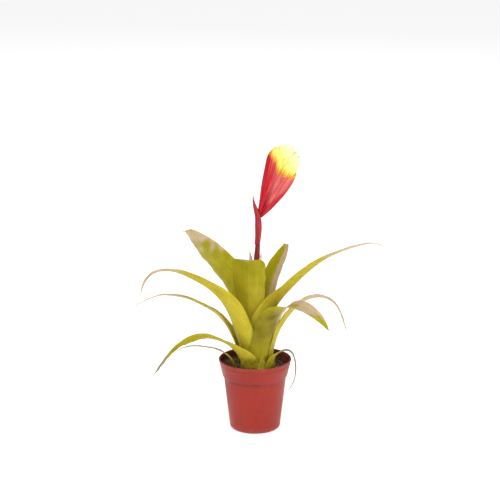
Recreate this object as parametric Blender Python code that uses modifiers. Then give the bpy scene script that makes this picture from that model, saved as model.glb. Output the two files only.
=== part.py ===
"""Potted bromeliad: a strap-leaved rosette with one flat red and yellow flower spike, in a nursery pot.

Metres, +Z up. The origin is the centre of the pot's flat base, and the plant's front faces -Y.
Every leaf is an open strip carried along a smooth spine and given its thickness by Solidify. The
leaves' sheaths nest round the stem, one layer of leaf and one gap apart, so no two of them touch.
"""

import math
from dataclasses import dataclass

import bmesh
import bpy
import numpy as np

MM = 0.001

# ---- Fits ------------------------------------------------------------------------------------------
FIT_GAP = 0.3 * MM  # between pieces that rest on or in each other

# ---- Pot -------------------------------------------------------------------------------------------
POT_RIM_RADIUS = 45 * MM
POT_HEIGHT = 90 * MM
POT_WALL = 1.2 * MM
POT_RIM_BAND = 2 * MM  # the upright band at the top of the collar
POT_COLLAR_HEIGHT = 22 * MM
POT_COLLAR_DRAW_IN = 5 * MM  # how far the collar tapers in, from the rim to its lower edge
POT_STEP = 1.4 * MM  # the ledge under the collar
POT_BASE_RADIUS = 31.5 * MM
POT_EDGE_RADIUS = 5.5 * MM  # the rounded bottom edge
POT_SIDES = 36
DRAIN_HOLES = 6
DRAIN_HOLE_RADIUS = 3.5 * MM
DRAIN_CIRCLE_RADIUS = 17 * MM

# ---- Potting mix and stem ----------------------------------------------------------------------------
SOIL_BELOW_RIM = 8 * MM
STEM_RADIUS = 6.3 * MM
STEM_DEPTH = 16 * MM  # how far the stem stands in the potting mix
STEM_RISE = 14 * MM  # how far it stands above the potting mix
STEM_SIDES = 20

# ---- Leaves ------------------------------------------------------------------------------------------
LEAF_THICKNESS = 0.7 * MM
LEAF_GAP = 0.5 * MM
LEAF_ROWS = 20
STRIP_ANGLE = 25  # the most that one strip of a curled sheath may turn through, in degrees
TIP_HALF_WIDTH = 0.4 * MM

# ---- Flower ------------------------------------------------------------------------------------------
SCAPE_FOOT_RADIUS = 3.7 * MM
SCAPE_TOP_RADIUS = 2.8 * MM
CLASP_RADIUS = 4.9 * MM  # of the scape bract at its widest
BRACT_THICKNESS = 0.4 * MM
BRACT_GAP = 0.35 * MM
BRACT_ROWS = 12
BRACT_COLUMNS = 9
RACHIS_RADIUS = 1.5 * MM
SPIKE_TILT = math.radians(23.5)  # the spike leans to +X
SPIKE_LIFT = 191 * MM  # height of the spike's foot above the potting mix
SPIKE_SIDESTEP = 4.5 * MM  # how far the flower stalk has leaned to +X at the spike's foot
BRACT_SPACING = 3 * MM  # between the feet of neighbouring bracts
BRACT_NOSE = 4.5 * MM  # depth of a bract's rounded keel

SOIL_TOP = POT_HEIGHT - SOIL_BELOW_RIM
SOIL_LEVEL = SOIL_TOP + FIT_GAP


@dataclass(frozen=True)
class Leaf:
    """One strap leaf. Lengths are in mm and angles in degrees.

    spine holds (out, up, turn) points: out is the distance from the foot of the sheath, away from the
    stem, up is the height above the potting mix, and turn is added to the azimuth. wrap is how far round
    the stem the sheath reaches, blade is the blade's width, flare is the share of the length over which
    one becomes the other, and the blade tapers from taper_from with the power taper. The section is an
    arc: channel and tip_channel are its half-angles, and open_by is where the sheath has opened out to
    it. rolls are (share of length, angle) pairs that turn the blade about its spine.
    """

    name: str
    azimuth: float
    wrap: float
    blade: float
    spine: tuple
    flare: float = 0.35
    taper_from: float = 0.4
    taper: float = 1.0
    channel: float = 28
    tip_channel: float = 20
    open_by: float = 0.5
    rolls: tuple = ((0, 0), (1, 0))
    colour: str = "green"


def over_rim(layer, beyond):
    """The out distance, in mm, of a point that hangs this far outside the pot's rim."""
    return (POT_RIM_RADIUS - sheath_radius(layer)) / MM + beyond


def sheath_radius(layer):
    """Radius of the middle of the sheath in this layer, counted from the stem."""
    return STEM_RADIUS + LEAF_GAP + LEAF_THICKNESS / 2 + layer * (LEAF_THICKNESS + LEAF_GAP)


# Innermost first: a leaf's place in this list is its layer round the stem.
LEAVES = (
    Leaf("inner_bract_left", 172, 152, 16, ((0, 1), (0.3, 40), (0.5, 90), (0, 125), (-0.2, 148)),
         flare=0.8, taper_from=0.8, taper=1.8, channel=62, tip_channel=60, open_by=1.0, colour="pale"),
    Leaf("inner_bract_right", -14, 137, 17, ((0, 1), (0.3, 40), (0.5, 90), (0, 124), (-0.2, 147)),
         flare=0.8, taper_from=0.8, taper=1.8, channel=62, tip_channel=60, open_by=1.0, colour="pale"),
    Leaf("leaf_front_upright", -102, 80, 42,
         ((0, 0, -22), (0.6, 30, -22), (4.5, 68, -21), (11, 99, -12), (18, 125, -6), (27, 142, -1),
          (36, 148, 1), (44, 148, 2)),
         flare=0.7, taper_from=0.84, taper=3, channel=14, tip_channel=4, open_by=0.68),
    Leaf("leaf_back_upright", 98, 72, 12, ((0, 0), (0.6, 30), (3, 62), (9, 84), (21, 98), (36, 103),
                                           (50, 101), (60, 94)),
         taper_from=0.5, taper=1.6, open_by=0.6),
    Leaf("leaf_right_upright", 47, 86, 29,
         ((0, 0), (0.6, 30), (3.6, 64), (11, 91), (22, 112), (34, 128), (44, 137, 2), (51, 141, 5),
          (55, 139, 8)),
         flare=0.6, taper_from=0.55, taper=2.4, channel=22, open_by=0.6),
    Leaf("leaf_left_broad", 138, 105, 44,
         ((0, 0), (1, 28), (5, 63), (17, 91), (36, 112), (60, 129), (84, 143), (101, 150), (110, 147)),
         flare=0.6, taper_from=0.62, taper=2.4, channel=18, open_by=0.62),
    Leaf("leaf_right_long", -6, 185, 38,
         ((0, 0, -54), (1, 23, -52), (6, 53, -45), (14, 77, -33), (28.5, 99, -13), (47.5, 119, -3),
          (76, 141), (112, 156.5), (134, 160), (150, 152)),
         flare=0.5, taper_from=0.35, channel=40, tip_channel=15, open_by=0.5,
         rolls=((0, 0), (0.3, 0), (0.5, -16), (1, -12))),
    Leaf("leaf_back_middle", 95, 66, 26, ((0, 0), (1.6, 23), (6, 48), (17, 68), (34, 82), (56, 88),
                                          (80, 84), (98, 72)),
         flare=0.6, taper_from=0.45, taper=1.4, channel=25, open_by=0.6),
    Leaf("leaf_left_long", 207, 137, 37,
         ((0, 0, 33), (2, 18, 31), (10.5, 42, 21), (20, 70, 15), (38, 99, 5), (72, 124), (102, 137), (125, 134),
          (135, 122), (139, 106)),
         flare=0.6, taper_from=0.3, channel=46, tip_channel=15, open_by=0.6,
         rolls=((0, 0), (0.25, 0), (0.45, 14), (1, 12))),
    Leaf("leaf_back_arching", 80, 77, 26, ((0, 0), (1.6, 20), (8, 44), (20, 60), (40, 70), (64, 72),
                                           (86, 62), (102, 46)),
         taper_from=0.4, taper=1.2, open_by=0.6),
    Leaf("leaf_front_right", -52, 134, 40,
         ((0, 0), (3, 22), (8.6, 47), (16.4, 67), (30, 83), (54, 92), (77, 94), (96, 92), (111, 87), (124, 79)),
         taper_from=0.5, taper=1.5, open_by=0.45),
    Leaf("leaf_left_middle", 180, 73, 24,
         ((0, 0, -20), (2.6, 20, -18), (13, 45, -8), (27, 64, -4), (45, 77), (62, 85), (78, 88.5), (96, 89.5),
          (110, 85), (124, 78), (130, 72)),
         taper_from=0.4, channel=30, rolls=((0, 0), (0.2, 0), (0.4, 14), (1, 10))),
    Leaf("leaf_right_middle", -5, 74, 28,
         ((0, 0), (1, 16), (5, 34), (11, 49), (21, 65), (32, 78), (46, 87), (62, 89), (75, 83), (84, 70),
          (90, 52), (93, 42)),
         taper_from=0.35, channel=40, open_by=0.6, rolls=((0, 0), (0.2, 0), (0.4, -16), (1, -8))),
    Leaf("leaf_back_low", 99, 60, 22, ((0, 0), (2, 18), (9, 34), (22, 45), (40, 48), (60, 42), (74, 30),
                                       (84, 14)),
         taper_from=0.35, taper=1.1, channel=30),
    Leaf("leaf_back_drooping", 62, 53, 18, ((0, 0), (1, 11), (7, 23), (19, 29, 4), (36, 27, 8),
                                            (52, 17, 10), (64, 3, 12)),
         taper_from=0.3, channel=30, open_by=0.4),
    Leaf("leaf_left_twisted", 254, 55, 20,
         ((0, 1.5), (0.4, 7, -1), (3, 15, -8), (9, 26, -28), (18, 35, -42), (30, 40, -50), (43, 42, -55),
          (59, 39, -57), (74, 31, -58), (88, 18, -58), (105, -4, -59)),
         taper_from=0.3, taper=0.9, channel=30, open_by=0.35, rolls=((0, 0), (0.4, 0), (0.6, -20), (1, -20))),
    Leaf("leaf_stub", -72, 24, 9, ((0, 0), (0.6, 8), (1.6, 14), (2.6, 19)),
         taper_from=0.3, taper=1.5, channel=20),
    Leaf("leaf_right_dry", -45, 37, 8,
         ((0, 1), (0.3, 6), (2, 14, 6), (8, 21, 22), (over_rim(17, -1), 20, 32), (over_rim(17, 4), 12, 35),
          (over_rim(17, 6), -2, 36), (over_rim(17, 5), -16, 36), (over_rim(17, 0), -28, 36),
          (over_rim(17, -6), -36, 36)),
         flare=0.25, taper_from=0.15, taper=0.8, channel=30, open_by=0.3, colour="dry"),
    Leaf("leaf_left_dry", 205, 24, 7, ((0, 0), (3, 8), (10, 18), (24, 27), (47, 34), (67, 35), (82, 30)),
         taper_from=0.2, channel=25, open_by=0.3, colour="dry"),
)


@dataclass(frozen=True)
class Bract:
    """One boat-shaped flower bract. keel holds (along, across) points in mm, along being counted from the
    bract's own foot, and wing is the greatest width of each of its two sides, from the keel in."""

    name: str
    keel: tuple
    wing: float


# Outermost first: a bract's place in this list is its layer on the spike.
BRACTS = (
    Bract("bract_right_1", ((0, 4), (12, 9.6), (26, 14.6), (38, 18.2), (49, 20.4), (59, 21.4), (67, 21.2)), 14),
    Bract("bract_left_1", ((0, -2.6), (12, -6), (36, -13), (59, -18.4), (73, -20.4), (85, -17)), 14),
    Bract("bract_right_2", ((0, 3.6), (14, 9.4), (30, 14.6), (46, 17.8), (60, 19.2), (72, 19.6), (83, 15.8)), 17),
    Bract("bract_left_2", ((0, -3), (16, -7), (36, -12.4), (56, -16.4), (71, -17.6), (83, -12.6)), 17),
    Bract("bract_right_3", ((0, 3.2), (18, 8.4), (38, 13.4), (58, 16.4), (72, 16), (83, 10)), 18),
    Bract("bract_left_3", ((0, -3.2), (20, -6.8), (40, -10.8), (60, -13), (73, -11.4), (82, -6)), 18),
    Bract("bract_right_4", ((0, 3), (22, 5.8), (42, 9), (62, 10.4), (74, 7.6), (81, 3)), 16),
    Bract("bract_left_4", ((0, -2.6), (24, -4), (44, -5.8), (61, -6.4), (71, -4.6), (78, -1.6)), 10),
)

COLOURS = {
    "pot": ((0.43, 0.065, 0.045, 1), 0.45),
    "soil": ((0.035, 0.018, 0.012, 1), 0.95),
    "stem": ((0.35, 0.27, 0.06, 1), 0.6),
    "green": ((0.30, 0.29, 0.02, 1), 0.5),
    "pale": ((0.62, 0.47, 0.30, 1), 0.6),
    "dry": ((0.20, 0.20, 0.11, 1), 0.8),
    "red": ((0.45, 0.006, 0.03, 1), 0.45),
    "flame": ((0.85, 0.35, 0.05, 1), 0.45),
}


def clear_scene():
    for obj in list(bpy.data.objects):
        bpy.data.objects.remove(obj, do_unlink=True)


def collection(name):
    made = bpy.data.collections.new(name)
    bpy.context.scene.collection.children.link(made)
    return made


def material(name):
    if name in bpy.data.materials:
        return bpy.data.materials[name]
    made = bpy.data.materials.new(name)
    made.use_nodes = True
    colour, roughness = COLOURS[name]
    shader = made.node_tree.nodes["Principled BSDF"]
    shader.inputs["Base Color"].default_value = colour
    shader.inputs["Roughness"].default_value = roughness
    made.diffuse_color = colour
    return made


def add_object(name, mesh, group, finish=None):
    obj = bpy.data.objects.new(name, mesh)
    group.objects.link(obj)
    if finish:
        mesh.materials.append(material(finish))
        mesh.shade_smooth()
    return obj


def add_thickness(obj, thickness, offset):
    solidify = obj.modifiers.new("thickness", "SOLIDIFY")
    solidify.thickness = thickness
    solidify.offset = offset
    solidify.use_even_offset = True
    solidify.use_rim = True


def add_cut(obj, cutter):
    cut = obj.modifiers.new("cut_" + cutter.name, "BOOLEAN")
    cut.operation = "DIFFERENCE"
    cut.solver = "EXACT"
    cut.object = cutter


def turned(name, profile, steps, group, finish=None):
    """A Screw on a profile of (radius, height) points that runs down the outer side."""
    mesh = bpy.data.meshes.new(name)
    points = [(radius, 0, height) for radius, height in profile]
    mesh.from_pydata(points, [(i, i + 1) for i in range(len(points) - 1)], [])
    obj = add_object(name, mesh, group, finish)
    screw = obj.modifiers.new("turn", "SCREW")
    screw.axis = "Z"
    screw.steps = steps
    screw.render_steps = steps
    screw.use_merge_vertices = True
    screw.merge_threshold = 0.00001
    screw.use_smooth_shade = True
    return obj


def add_cylinders(name, places, radius, bottom, top, sides, group):
    """Upright cylinders in one mesh, at each (x, y) place."""
    mesh = bpy.data.meshes.new(name)
    shape = bmesh.new()
    for x, y in places:
        made = bmesh.ops.create_cone(shape, cap_ends=True, segments=sides, radius1=radius, radius2=radius,
                                     depth=top - bottom)
        bmesh.ops.translate(shape, verts=made["verts"], vec=(x, y, (top + bottom) / 2))
    shape.to_mesh(mesh)
    shape.free()
    return add_object(name, mesh, group)


def hide(cutter):
    cutter.hide_render = True
    cutter.display_type = "WIRE"


# ---- Smooth curves and steps ---------------------------------------------------------------------------
def smooth_curve(points, shares):
    """Points at these shares of the length of a natural cubic spline through the given points.

    The second derivatives at the knots solve the usual tridiagonal system. The knots are spaced by the
    0.7 power of the distance between points, which keeps short stretches from overshooting.
    """
    points = np.asarray(points, float)
    knots = np.concatenate([[0], np.cumsum(np.linalg.norm(np.diff(points, axis=0), axis=1) ** 0.7)])
    step = np.diff(knots)
    slope = np.diff(points, axis=0) / step[:, None]
    inner = np.diag(2 * (step[:-1] + step[1:])) + np.diag(step[1:-1], 1) + np.diag(step[1:-1], -1)
    bend = np.zeros_like(points)
    bend[1:-1] = np.linalg.solve(inner, 6 * np.diff(slope, axis=0))

    def at(position):
        k = np.clip(np.searchsorted(knots, position, side="right") - 1, 0, len(step) - 1)
        left, right, wide = knots[k + 1] - position, position - knots[k], step[k]
        left, right, wide = left[:, None], right[:, None], wide[:, None]
        curved = (bend[k] * left**3 + bend[k + 1] * right**3) / (6 * wide)
        straight_left = (points[k] / wide - bend[k] * wide / 6) * left
        straight_right = (points[k + 1] / wide - bend[k + 1] * wide / 6) * right
        return curved + straight_left + straight_right

    fine = np.linspace(0, knots[-1], 400)
    run = np.concatenate([[0], np.cumsum(np.linalg.norm(np.diff(at(fine), axis=0), axis=1))])
    return at(np.interp(np.asarray(shares) * run[-1], run, fine))


def ease(start, end, value):
    """0 before start, 1 after end, and a smooth step between."""
    share = np.clip((value - start) / (end - start), 0, 1)
    return share * share * (3 - 2 * share)


def unit(vectors):
    return vectors / np.linalg.norm(vectors, axis=-1, keepdims=True)


# ---- Pot and potting mix -------------------------------------------------------------------------------
def pot_outside():
    """(radius, height) points down the pot's outside, from the rim to the middle of the base."""
    collar_foot = POT_HEIGHT - POT_COLLAR_HEIGHT
    wall_top = POT_RIM_RADIUS - POT_COLLAR_DRAW_IN - POT_STEP
    points = [
        (POT_RIM_RADIUS, POT_HEIGHT),
        (POT_RIM_RADIUS, POT_HEIGHT - POT_RIM_BAND),
        (POT_RIM_RADIUS - POT_COLLAR_DRAW_IN, collar_foot),
        (wall_top, collar_foot - POT_STEP),
    ]
    for turn in range(0, 91, 30):
        angle = math.radians(turn)
        points.append((POT_BASE_RADIUS - POT_EDGE_RADIUS * (1 - math.cos(angle)),
                       POT_EDGE_RADIUS * (1 - math.sin(angle))))
    return points + [(0, 0)]


def inside(points, depth):
    """A profile moved in by this depth, at right angles to each stretch, between its two ends."""
    points = np.asarray(points)
    runs = np.diff(points, axis=0)
    inward = unit(np.stack([runs[:, 1], -runs[:, 0]], 1))
    moved = []
    for before, after, point in zip(inward[:-1], inward[1:], points[1:-1]):
        mitre = before + after
        moved.append(point + mitre * depth / (mitre @ before))
    return [tuple(point) for point in moved]


def build_pot(group, cutters):
    pot = turned("pot", pot_outside(), POT_SIDES, group, "pot")
    add_thickness(pot, POT_WALL, -1)
    turns = [2 * math.pi * i / DRAIN_HOLES for i in range(DRAIN_HOLES)]
    places = [(DRAIN_CIRCLE_RADIUS * math.cos(turn), DRAIN_CIRCLE_RADIUS * math.sin(turn)) for turn in turns]
    drains = add_cylinders("drain_cutter", places, DRAIN_HOLE_RADIUS, -3 * POT_WALL, 4 * POT_WALL, 12, cutters)
    hide(drains)
    add_cut(pot, drains)


def build_potting_mix(group, cutters):
    lining = inside(pot_outside(), POT_WALL + FIT_GAP)
    below = [point for point in lining if point[1] < SOIL_TOP]
    upper, lower = np.array(lining[0]), np.array(lining[1])
    share = (SOIL_TOP - lower[1]) / (upper[1] - lower[1])
    edge = lower[0] + share * (upper[0] - lower[0])
    profile = [(0, SOIL_TOP), (edge, SOIL_TOP)] + below + [(0, POT_WALL + FIT_GAP)]
    mix = turned("potting_mix", profile, POT_SIDES, group, "soil")
    socket = add_cylinders("stem_cutter", [(0, 0)], STEM_RADIUS + FIT_GAP,
                           SOIL_TOP - STEM_DEPTH - FIT_GAP, SOIL_TOP + STEM_DEPTH, STEM_SIDES, cutters)
    hide(socket)
    add_cut(mix, socket)


def build_stem(group):
    stem = add_cylinders("stem_base", [(0, 0)], STEM_RADIUS, SOIL_TOP - STEM_DEPTH, SOIL_TOP + STEM_RISE,
                         STEM_SIDES, group)
    stem.data.materials.append(material("stem"))
    edge = stem.modifiers.new("rounded", "BEVEL")
    edge.width = 0.25 * STEM_RADIUS
    edge.segments = 2
    edge.limit_method = "ANGLE"


# ---- Leaves ----------------------------------------------------------------------------------------------
def leaf_surface(leaf, layer, rows, columns):
    """Points of the leaf's middle surface, rows along it and columns across it.

    The spine's points are turned from (out, up, turn) to the world. Across the spine the section is an
    arc of the blade's width at that place, curled towards the leaf's upper face. At the foot the arc has
    the sheath's own radius, so that the sheath is a part of a cylinder round the stem.
    """
    along = np.linspace(0, 1, rows)
    across = np.linspace(-1, 1, columns)
    knots = np.array([point if len(point) == 3 else (*point, 0) for point in leaf.spine], float)
    foot = sheath_radius(layer)
    reach = foot + knots[:, 0] * MM
    azimuth = np.radians(leaf.azimuth + knots[:, 2])
    height = SOIL_LEVEL + knots[:, 1] * MM
    world = np.stack([reach * np.cos(azimuth), reach * np.sin(azimuth), height], 1)
    spine = smooth_curve(world, along)

    tangent = unit(np.gradient(spine, along, axis=0))
    run = np.concatenate([[0], np.cumsum(np.linalg.norm(np.diff(world, axis=0), axis=1))])
    facing = np.interp(along, run / run[-1], azimuth)
    side = np.stack([-np.sin(facing), np.cos(facing), np.zeros(rows)], 1)
    side = unit(side - (side * tangent).sum(1)[:, None] * tangent)
    upper = np.cross(tangent, side)
    roll = np.radians(np.interp(along, *np.array(leaf.rolls, float).T))[:, None]
    side, upper = np.cos(roll) * side + np.sin(roll) * upper, np.cos(roll) * upper - np.sin(roll) * side

    sheath = math.radians(leaf.wrap / 2) * foot
    half = sheath + (leaf.blade * MM / 2 - sheath) * ease(0, leaf.flare, along)
    half *= 1 - np.clip((along - leaf.taper_from) / (1 - leaf.taper_from), 0, 1) ** leaf.taper
    half += TIP_HALF_WIDTH
    channel, tip_channel = math.radians(leaf.channel), math.radians(leaf.tip_channel)
    curl = channel + (half[0] / foot - channel) * (1 - ease(0, leaf.open_by, along))
    curl += (tip_channel - channel) * ease(0.6, 1, along)
    curl = np.where(np.abs(curl) < 0.02, 0.02, curl)
    angle = curl[:, None] * across
    radius = (half / curl)[:, None]
    sideways, lift = radius * np.sin(angle), radius * (1 - np.cos(angle))
    return spine[:, None] + sideways[..., None] * side[:, None] + lift[..., None] * upper[:, None]


def add_sheet(name, surface, thickness, group, finish):
    """A grid bent to the surface's points and given its thickness."""
    rows, columns = surface.shape[:2]
    mesh = bpy.data.meshes.new(name)
    shape = bmesh.new()
    bmesh.ops.create_grid(shape, x_segments=columns - 1, y_segments=rows - 1, size=1)
    shape.verts.ensure_lookup_table()
    order = sorted(shape.verts, key=lambda vert: (round(vert.co.y, 4), round(vert.co.x, 4)))
    for vert, place in zip(order, surface.reshape(-1, 3)):
        vert.co = place
    shape.to_mesh(mesh)
    shape.free()
    sheet = add_object(name, mesh, group, finish)
    add_thickness(sheet, thickness, 0)
    return sheet


def leaf_columns(leaf):
    """An odd number of columns, so that one runs down the middle and no strip turns too far."""
    return 1 + 2 * max(2, math.ceil(leaf.wrap / 2 / STRIP_ANGLE))


def build_leaves(group):
    for layer, leaf in enumerate(LEAVES):
        surface = leaf_surface(leaf, layer, LEAF_ROWS, leaf_columns(leaf))
        add_sheet(leaf.name, surface, LEAF_THICKNESS, group, leaf.colour)


# ---- Flower ----------------------------------------------------------------------------------------------
def spike_foot():
    return np.array([SPIKE_SIDESTEP, 0, SOIL_TOP + SPIKE_LIFT])


def on_spike(along, across):
    """World points at these distances along the spike's axis and across it, in its flat plane."""
    axis = np.array([math.sin(SPIKE_TILT), 0, math.cos(SPIKE_TILT)])
    right = np.array([math.cos(SPIKE_TILT), 0, -math.sin(SPIKE_TILT)])
    return spike_foot() + np.multiply.outer(along, axis) + np.multiply.outer(across, right)


def stalk_points():
    """The flower stalk's path, from the top of the stem to the spike's foot."""
    foot = SOIL_TOP + STEM_RISE + FIT_GAP
    top = SOIL_TOP + SPIKE_LIFT - 2 * FIT_GAP
    shares = np.array([0, 0.3, 0.65, 0.85, 1])
    lean = SPIKE_SIDESTEP * np.array([0, 0.1, 0.35, 0.85, 1])
    return np.stack([lean, np.zeros(5), foot + (top - foot) * shares], 1)


def add_tube(name, points, radii, resolution, group, finish):
    """A tapered tube through the points, with filled caps, made a mesh with its caps welded on."""
    line = bpy.data.curves.new(name, "CURVE")
    line.dimensions = "3D"
    line.bevel_depth = 1
    line.bevel_resolution = resolution
    line.use_fill_caps = True
    spline = line.splines.new("POLY")
    spline.points.add(len(points) - 1)
    for point, place, radius in zip(spline.points, points, radii):
        point.co = (*place, 1)
        point.radius = radius
    guide = bpy.data.objects.new(name + "_guide", line)
    group.objects.link(guide)
    graph = bpy.context.evaluated_depsgraph_get()
    mesh = bpy.data.meshes.new_from_object(guide.evaluated_get(graph))
    bpy.data.objects.remove(guide)
    shape = bmesh.new()
    shape.from_mesh(mesh)
    bmesh.ops.remove_doubles(shape, verts=shape.verts, dist=0.00001)
    shape.to_mesh(mesh)
    shape.free()
    mesh.materials.clear()
    return add_object(name, mesh, group, finish)


def build_scape(group):
    shares = np.linspace(0, 1, 14)
    points = smooth_curve(stalk_points(), shares)
    radii = SCAPE_FOOT_RADIUS + (SCAPE_TOP_RADIUS - SCAPE_FOOT_RADIUS) * ease(0.65, 0.85, shares)
    add_tube("scape", points, radii, 3, group, "red")


def build_rachis(group):
    """The spike's own thin axis, which carries the bracts, inside them."""
    reach = len(BRACTS) * BRACT_SPACING
    along = np.linspace(0, reach, 5)
    radii = RACHIS_RADIUS * np.array([1, 1, 0.8, 0.5, 0.2])
    add_tube("spike_axis", on_spike(along, np.zeros(5)), radii, 2, group, "red")


def scape_bract_surface(rows, columns):
    """The long bract that clasps the stalk and ends in a free tip on the left.

    Up to half its length it is most of a cylinder round the stalk, and widens upwards. Past that its
    back leaves the stalk, leans to the left, and narrows to a point.
    """
    along = np.linspace(0, 1, rows)
    across = np.linspace(-1, 1, columns)
    snug = SCAPE_TOP_RADIUS + 2 * BRACT_GAP + BRACT_THICKNESS / 2
    path = smooth_curve(stalk_points(), np.array([0.8, 0.87, 0.94, 0.985]))
    path[1:, 0] += 0.5 * (CLASP_RADIUS - snug)
    back = np.array([-1.0, 0, 0])
    rise = path[-1][2] - path[0][2]
    top = path[-1] + CLASP_RADIUS * back
    knots = [
        path[0] + snug * back,
        path[1] + 0.5 * (snug + CLASP_RADIUS) * back,
        path[2] + CLASP_RADIUS * back,
        top,
        top + np.array([-1.8 * MM, 0, 0.35 * rise]),
        top + np.array([-3 * MM, 0, 0.7 * rise]),
        top + np.array([-2.6 * MM, 0, 1.0 * rise]),
    ]
    spine = smooth_curve(knots, along)
    tangent = unit(np.gradient(spine, along, axis=0))
    side = np.tile([0.0, -1.0, 0.0], (rows, 1))
    upper = unit(np.cross(tangent, side))
    wrap = math.radians(135) - math.radians(70) * ease(0.3, 0.75, along)
    radius = snug + (CLASP_RADIUS - snug) * ease(0, 0.4, along)
    radius *= 1 - 0.88 * ease(0.56, 1, along)
    angle = wrap[:, None] * across
    sideways, lift = radius[:, None] * np.sin(angle), radius[:, None] * (1 - np.cos(angle))
    return spine[:, None] + sideways[..., None] * side[:, None] + lift[..., None] * upper[:, None]


def bract_surface(bract, layer, rows, columns):
    """Points of a flower bract's middle surface, folded along its keel like a boat.

    The keel is a smooth curve in the spike's flat plane. Across it each side runs in towards the axis
    for the width of its wing. A side's distance from the flat plane rises over the rounded nose as a
    quarter of an ellipse, then stays level. The level grows along the spike by one bract and one gap for
    each bract that starts further up, so that each bract encloses the ones above it. Rows are closer at
    the foot, where the level grows fastest.
    """
    shares = np.linspace(0, 1, rows) ** 1.3
    across = np.linspace(-1, 1, columns)
    across = np.sign(across) * np.abs(across) ** 1.6
    keel = smooth_curve(np.array(bract.keel) * MM, shares) + [layer * BRACT_SPACING, 0]
    heading = unit(np.gradient(keel, shares, axis=0))
    side = 1 if bract.keel[0][1] > 0 else -1
    inward = np.stack([side * heading[:, 1], -side * heading[:, 0]], 1)
    wing = bract.wing * MM * (0.3 + 0.7 * ease(0, 0.55, shares)) * (1 - 0.96 * ease(0.66, 1, shares) ** 1.6)
    depth = wing[:, None] * np.abs(across)
    place = keel[:, None] + depth[..., None] * inward[:, None]

    pitch = BRACT_THICKNESS + BRACT_GAP
    innermost = len(BRACTS) - 1
    reached = np.clip(place[..., 0] / (innermost * BRACT_SPACING * 4 / 3), 0, 1)
    started = innermost * (1 - (1 - reached) ** (4 / 3))
    level = RACHIS_RADIUS + BRACT_GAP + BRACT_THICKNESS / 2 + pitch * (started - layer)
    blunt = BRACT_NOSE * (0.4 + 0.6 * ease(0, 0.4, shares))[:, None]
    nose = np.clip(1 - depth / blunt, 0, 1)
    out = level * np.sqrt(1 - nose**2) * np.sign(across)
    world = on_spike(place[..., 0], place[..., 1])
    world[..., 1] += out
    return world


def build_spike(group):
    for layer, bract in enumerate(BRACTS):
        surface = bract_surface(bract, layer, BRACT_ROWS, BRACT_COLUMNS)
        add_sheet(bract.name, surface, BRACT_THICKNESS, group, "flame")


def main():
    clear_scene()
    group = collection("potted_bromeliad")
    cutters = collection("cutters")
    build_pot(group, cutters)
    build_potting_mix(group, cutters)
    build_stem(group)
    build_leaves(group)
    build_scape(group)
    add_sheet("scape_bract", scape_bract_surface(12, 7), BRACT_THICKNESS, group, "red")
    build_rachis(group)
    build_spike(group)


main()
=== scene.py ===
"""Looks of the potted bromeliad: living leaves, a red and yellow flower spike, crumbly mix, a plastic pot.

Every new piece is a surface worked out with numpy in metres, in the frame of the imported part. Thin
pieces (leaves, bracts) start as a sheet, a function of a place along and a place across, and are given
their thickness along the sheet's own normals. The marks on them are fields on the same grid, stored as
attributes, which the node materials turn into colour, gloss and relief.
"""

import logging
import math
from dataclasses import dataclass
from enum import Enum

import bpy
import numpy as np
from numpy.typing import NDArray
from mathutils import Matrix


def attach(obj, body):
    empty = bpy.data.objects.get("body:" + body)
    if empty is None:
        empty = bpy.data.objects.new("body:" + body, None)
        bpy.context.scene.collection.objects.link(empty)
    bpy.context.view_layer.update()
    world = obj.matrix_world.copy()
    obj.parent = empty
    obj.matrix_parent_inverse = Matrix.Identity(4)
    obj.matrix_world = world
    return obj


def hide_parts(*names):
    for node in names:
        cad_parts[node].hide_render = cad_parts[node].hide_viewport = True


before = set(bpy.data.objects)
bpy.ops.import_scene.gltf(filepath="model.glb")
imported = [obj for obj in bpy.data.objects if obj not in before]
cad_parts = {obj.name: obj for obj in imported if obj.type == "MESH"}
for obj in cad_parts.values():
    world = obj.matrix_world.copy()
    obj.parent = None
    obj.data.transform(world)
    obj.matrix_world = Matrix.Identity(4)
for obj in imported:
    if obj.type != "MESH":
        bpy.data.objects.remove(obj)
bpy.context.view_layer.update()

Array = NDArray[np.float64]
Colour = tuple[float, float, float]
Knots = tuple[tuple[float, ...], ...]
MM = 0.001

# Sizes that more than one class is made from.
POT_RIM = 45 * MM
SOIL_LEVEL = 82.3 * MM
STEM_RADIUS = 6.3 * MM
LEAF_THICKNESS = 0.7 * MM
LEAF_GAP = 0.5 * MM
FOOT_DROP = 1.8 * MM
HANGING_LAYER = 17
BRACT_THICKNESS = 0.4 * MM
BRACT_GAP = 0.35 * MM
STALK_LEAN = 4.5 * MM

# A leaf's or a bract's random fields are seeded with one of these plus its layer.
LEAF_SHAPE_SEED = 40
LEAF_MARK_SEED = 80
BRACT_SHAPE_SEED = 200
BRACT_MARK_SEED = 300

LOG = logging.getLogger("potted_bromeliad")


class Side(Enum):
    """A side of the flower spike, or of a leaf looked at along its spine."""

    LEFT = -1
    RIGHT = 1


class Slot(Enum):
    """The record's material slots."""

    POT = "pot_plastic"
    MIX = "potting_mix"
    STEM = "stem"
    LEAF = "leaf"
    DRY_LEAF = "dry_leaf"
    PALE_BRACT = "pale_bract"
    STALK = "scape_red"
    FLOWER = "flower_bract"


# ---- Shapes ----------------------------------------------------------------------------------------
def ease(start: float, end: float, value: Array) -> Array:
    """A smooth step: 0 before start, 1 after end, and 3t^2 - 2t^3 between.

    Args:
        start: Where the step begins.
        end: Where it ends.
        value: Places to work it out at.

    Returns:
        Shares from 0 to 1.
    """
    share = np.clip((value - start) / (end - start), 0.0, 1.0)
    return share * share * (3.0 - 2.0 * share)


def bell(centre: float, width: float, value: Array) -> Array:
    """A bell curve of height 1: exp(-((value - centre) / width)^2).

    Args:
        centre: Where it peaks.
        width: How far from there it has dropped to a third.
        value: Places to work it out at.

    Returns:
        Heights from 0 to 1.
    """
    return np.exp(-(((value - centre) / width) ** 2))


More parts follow.
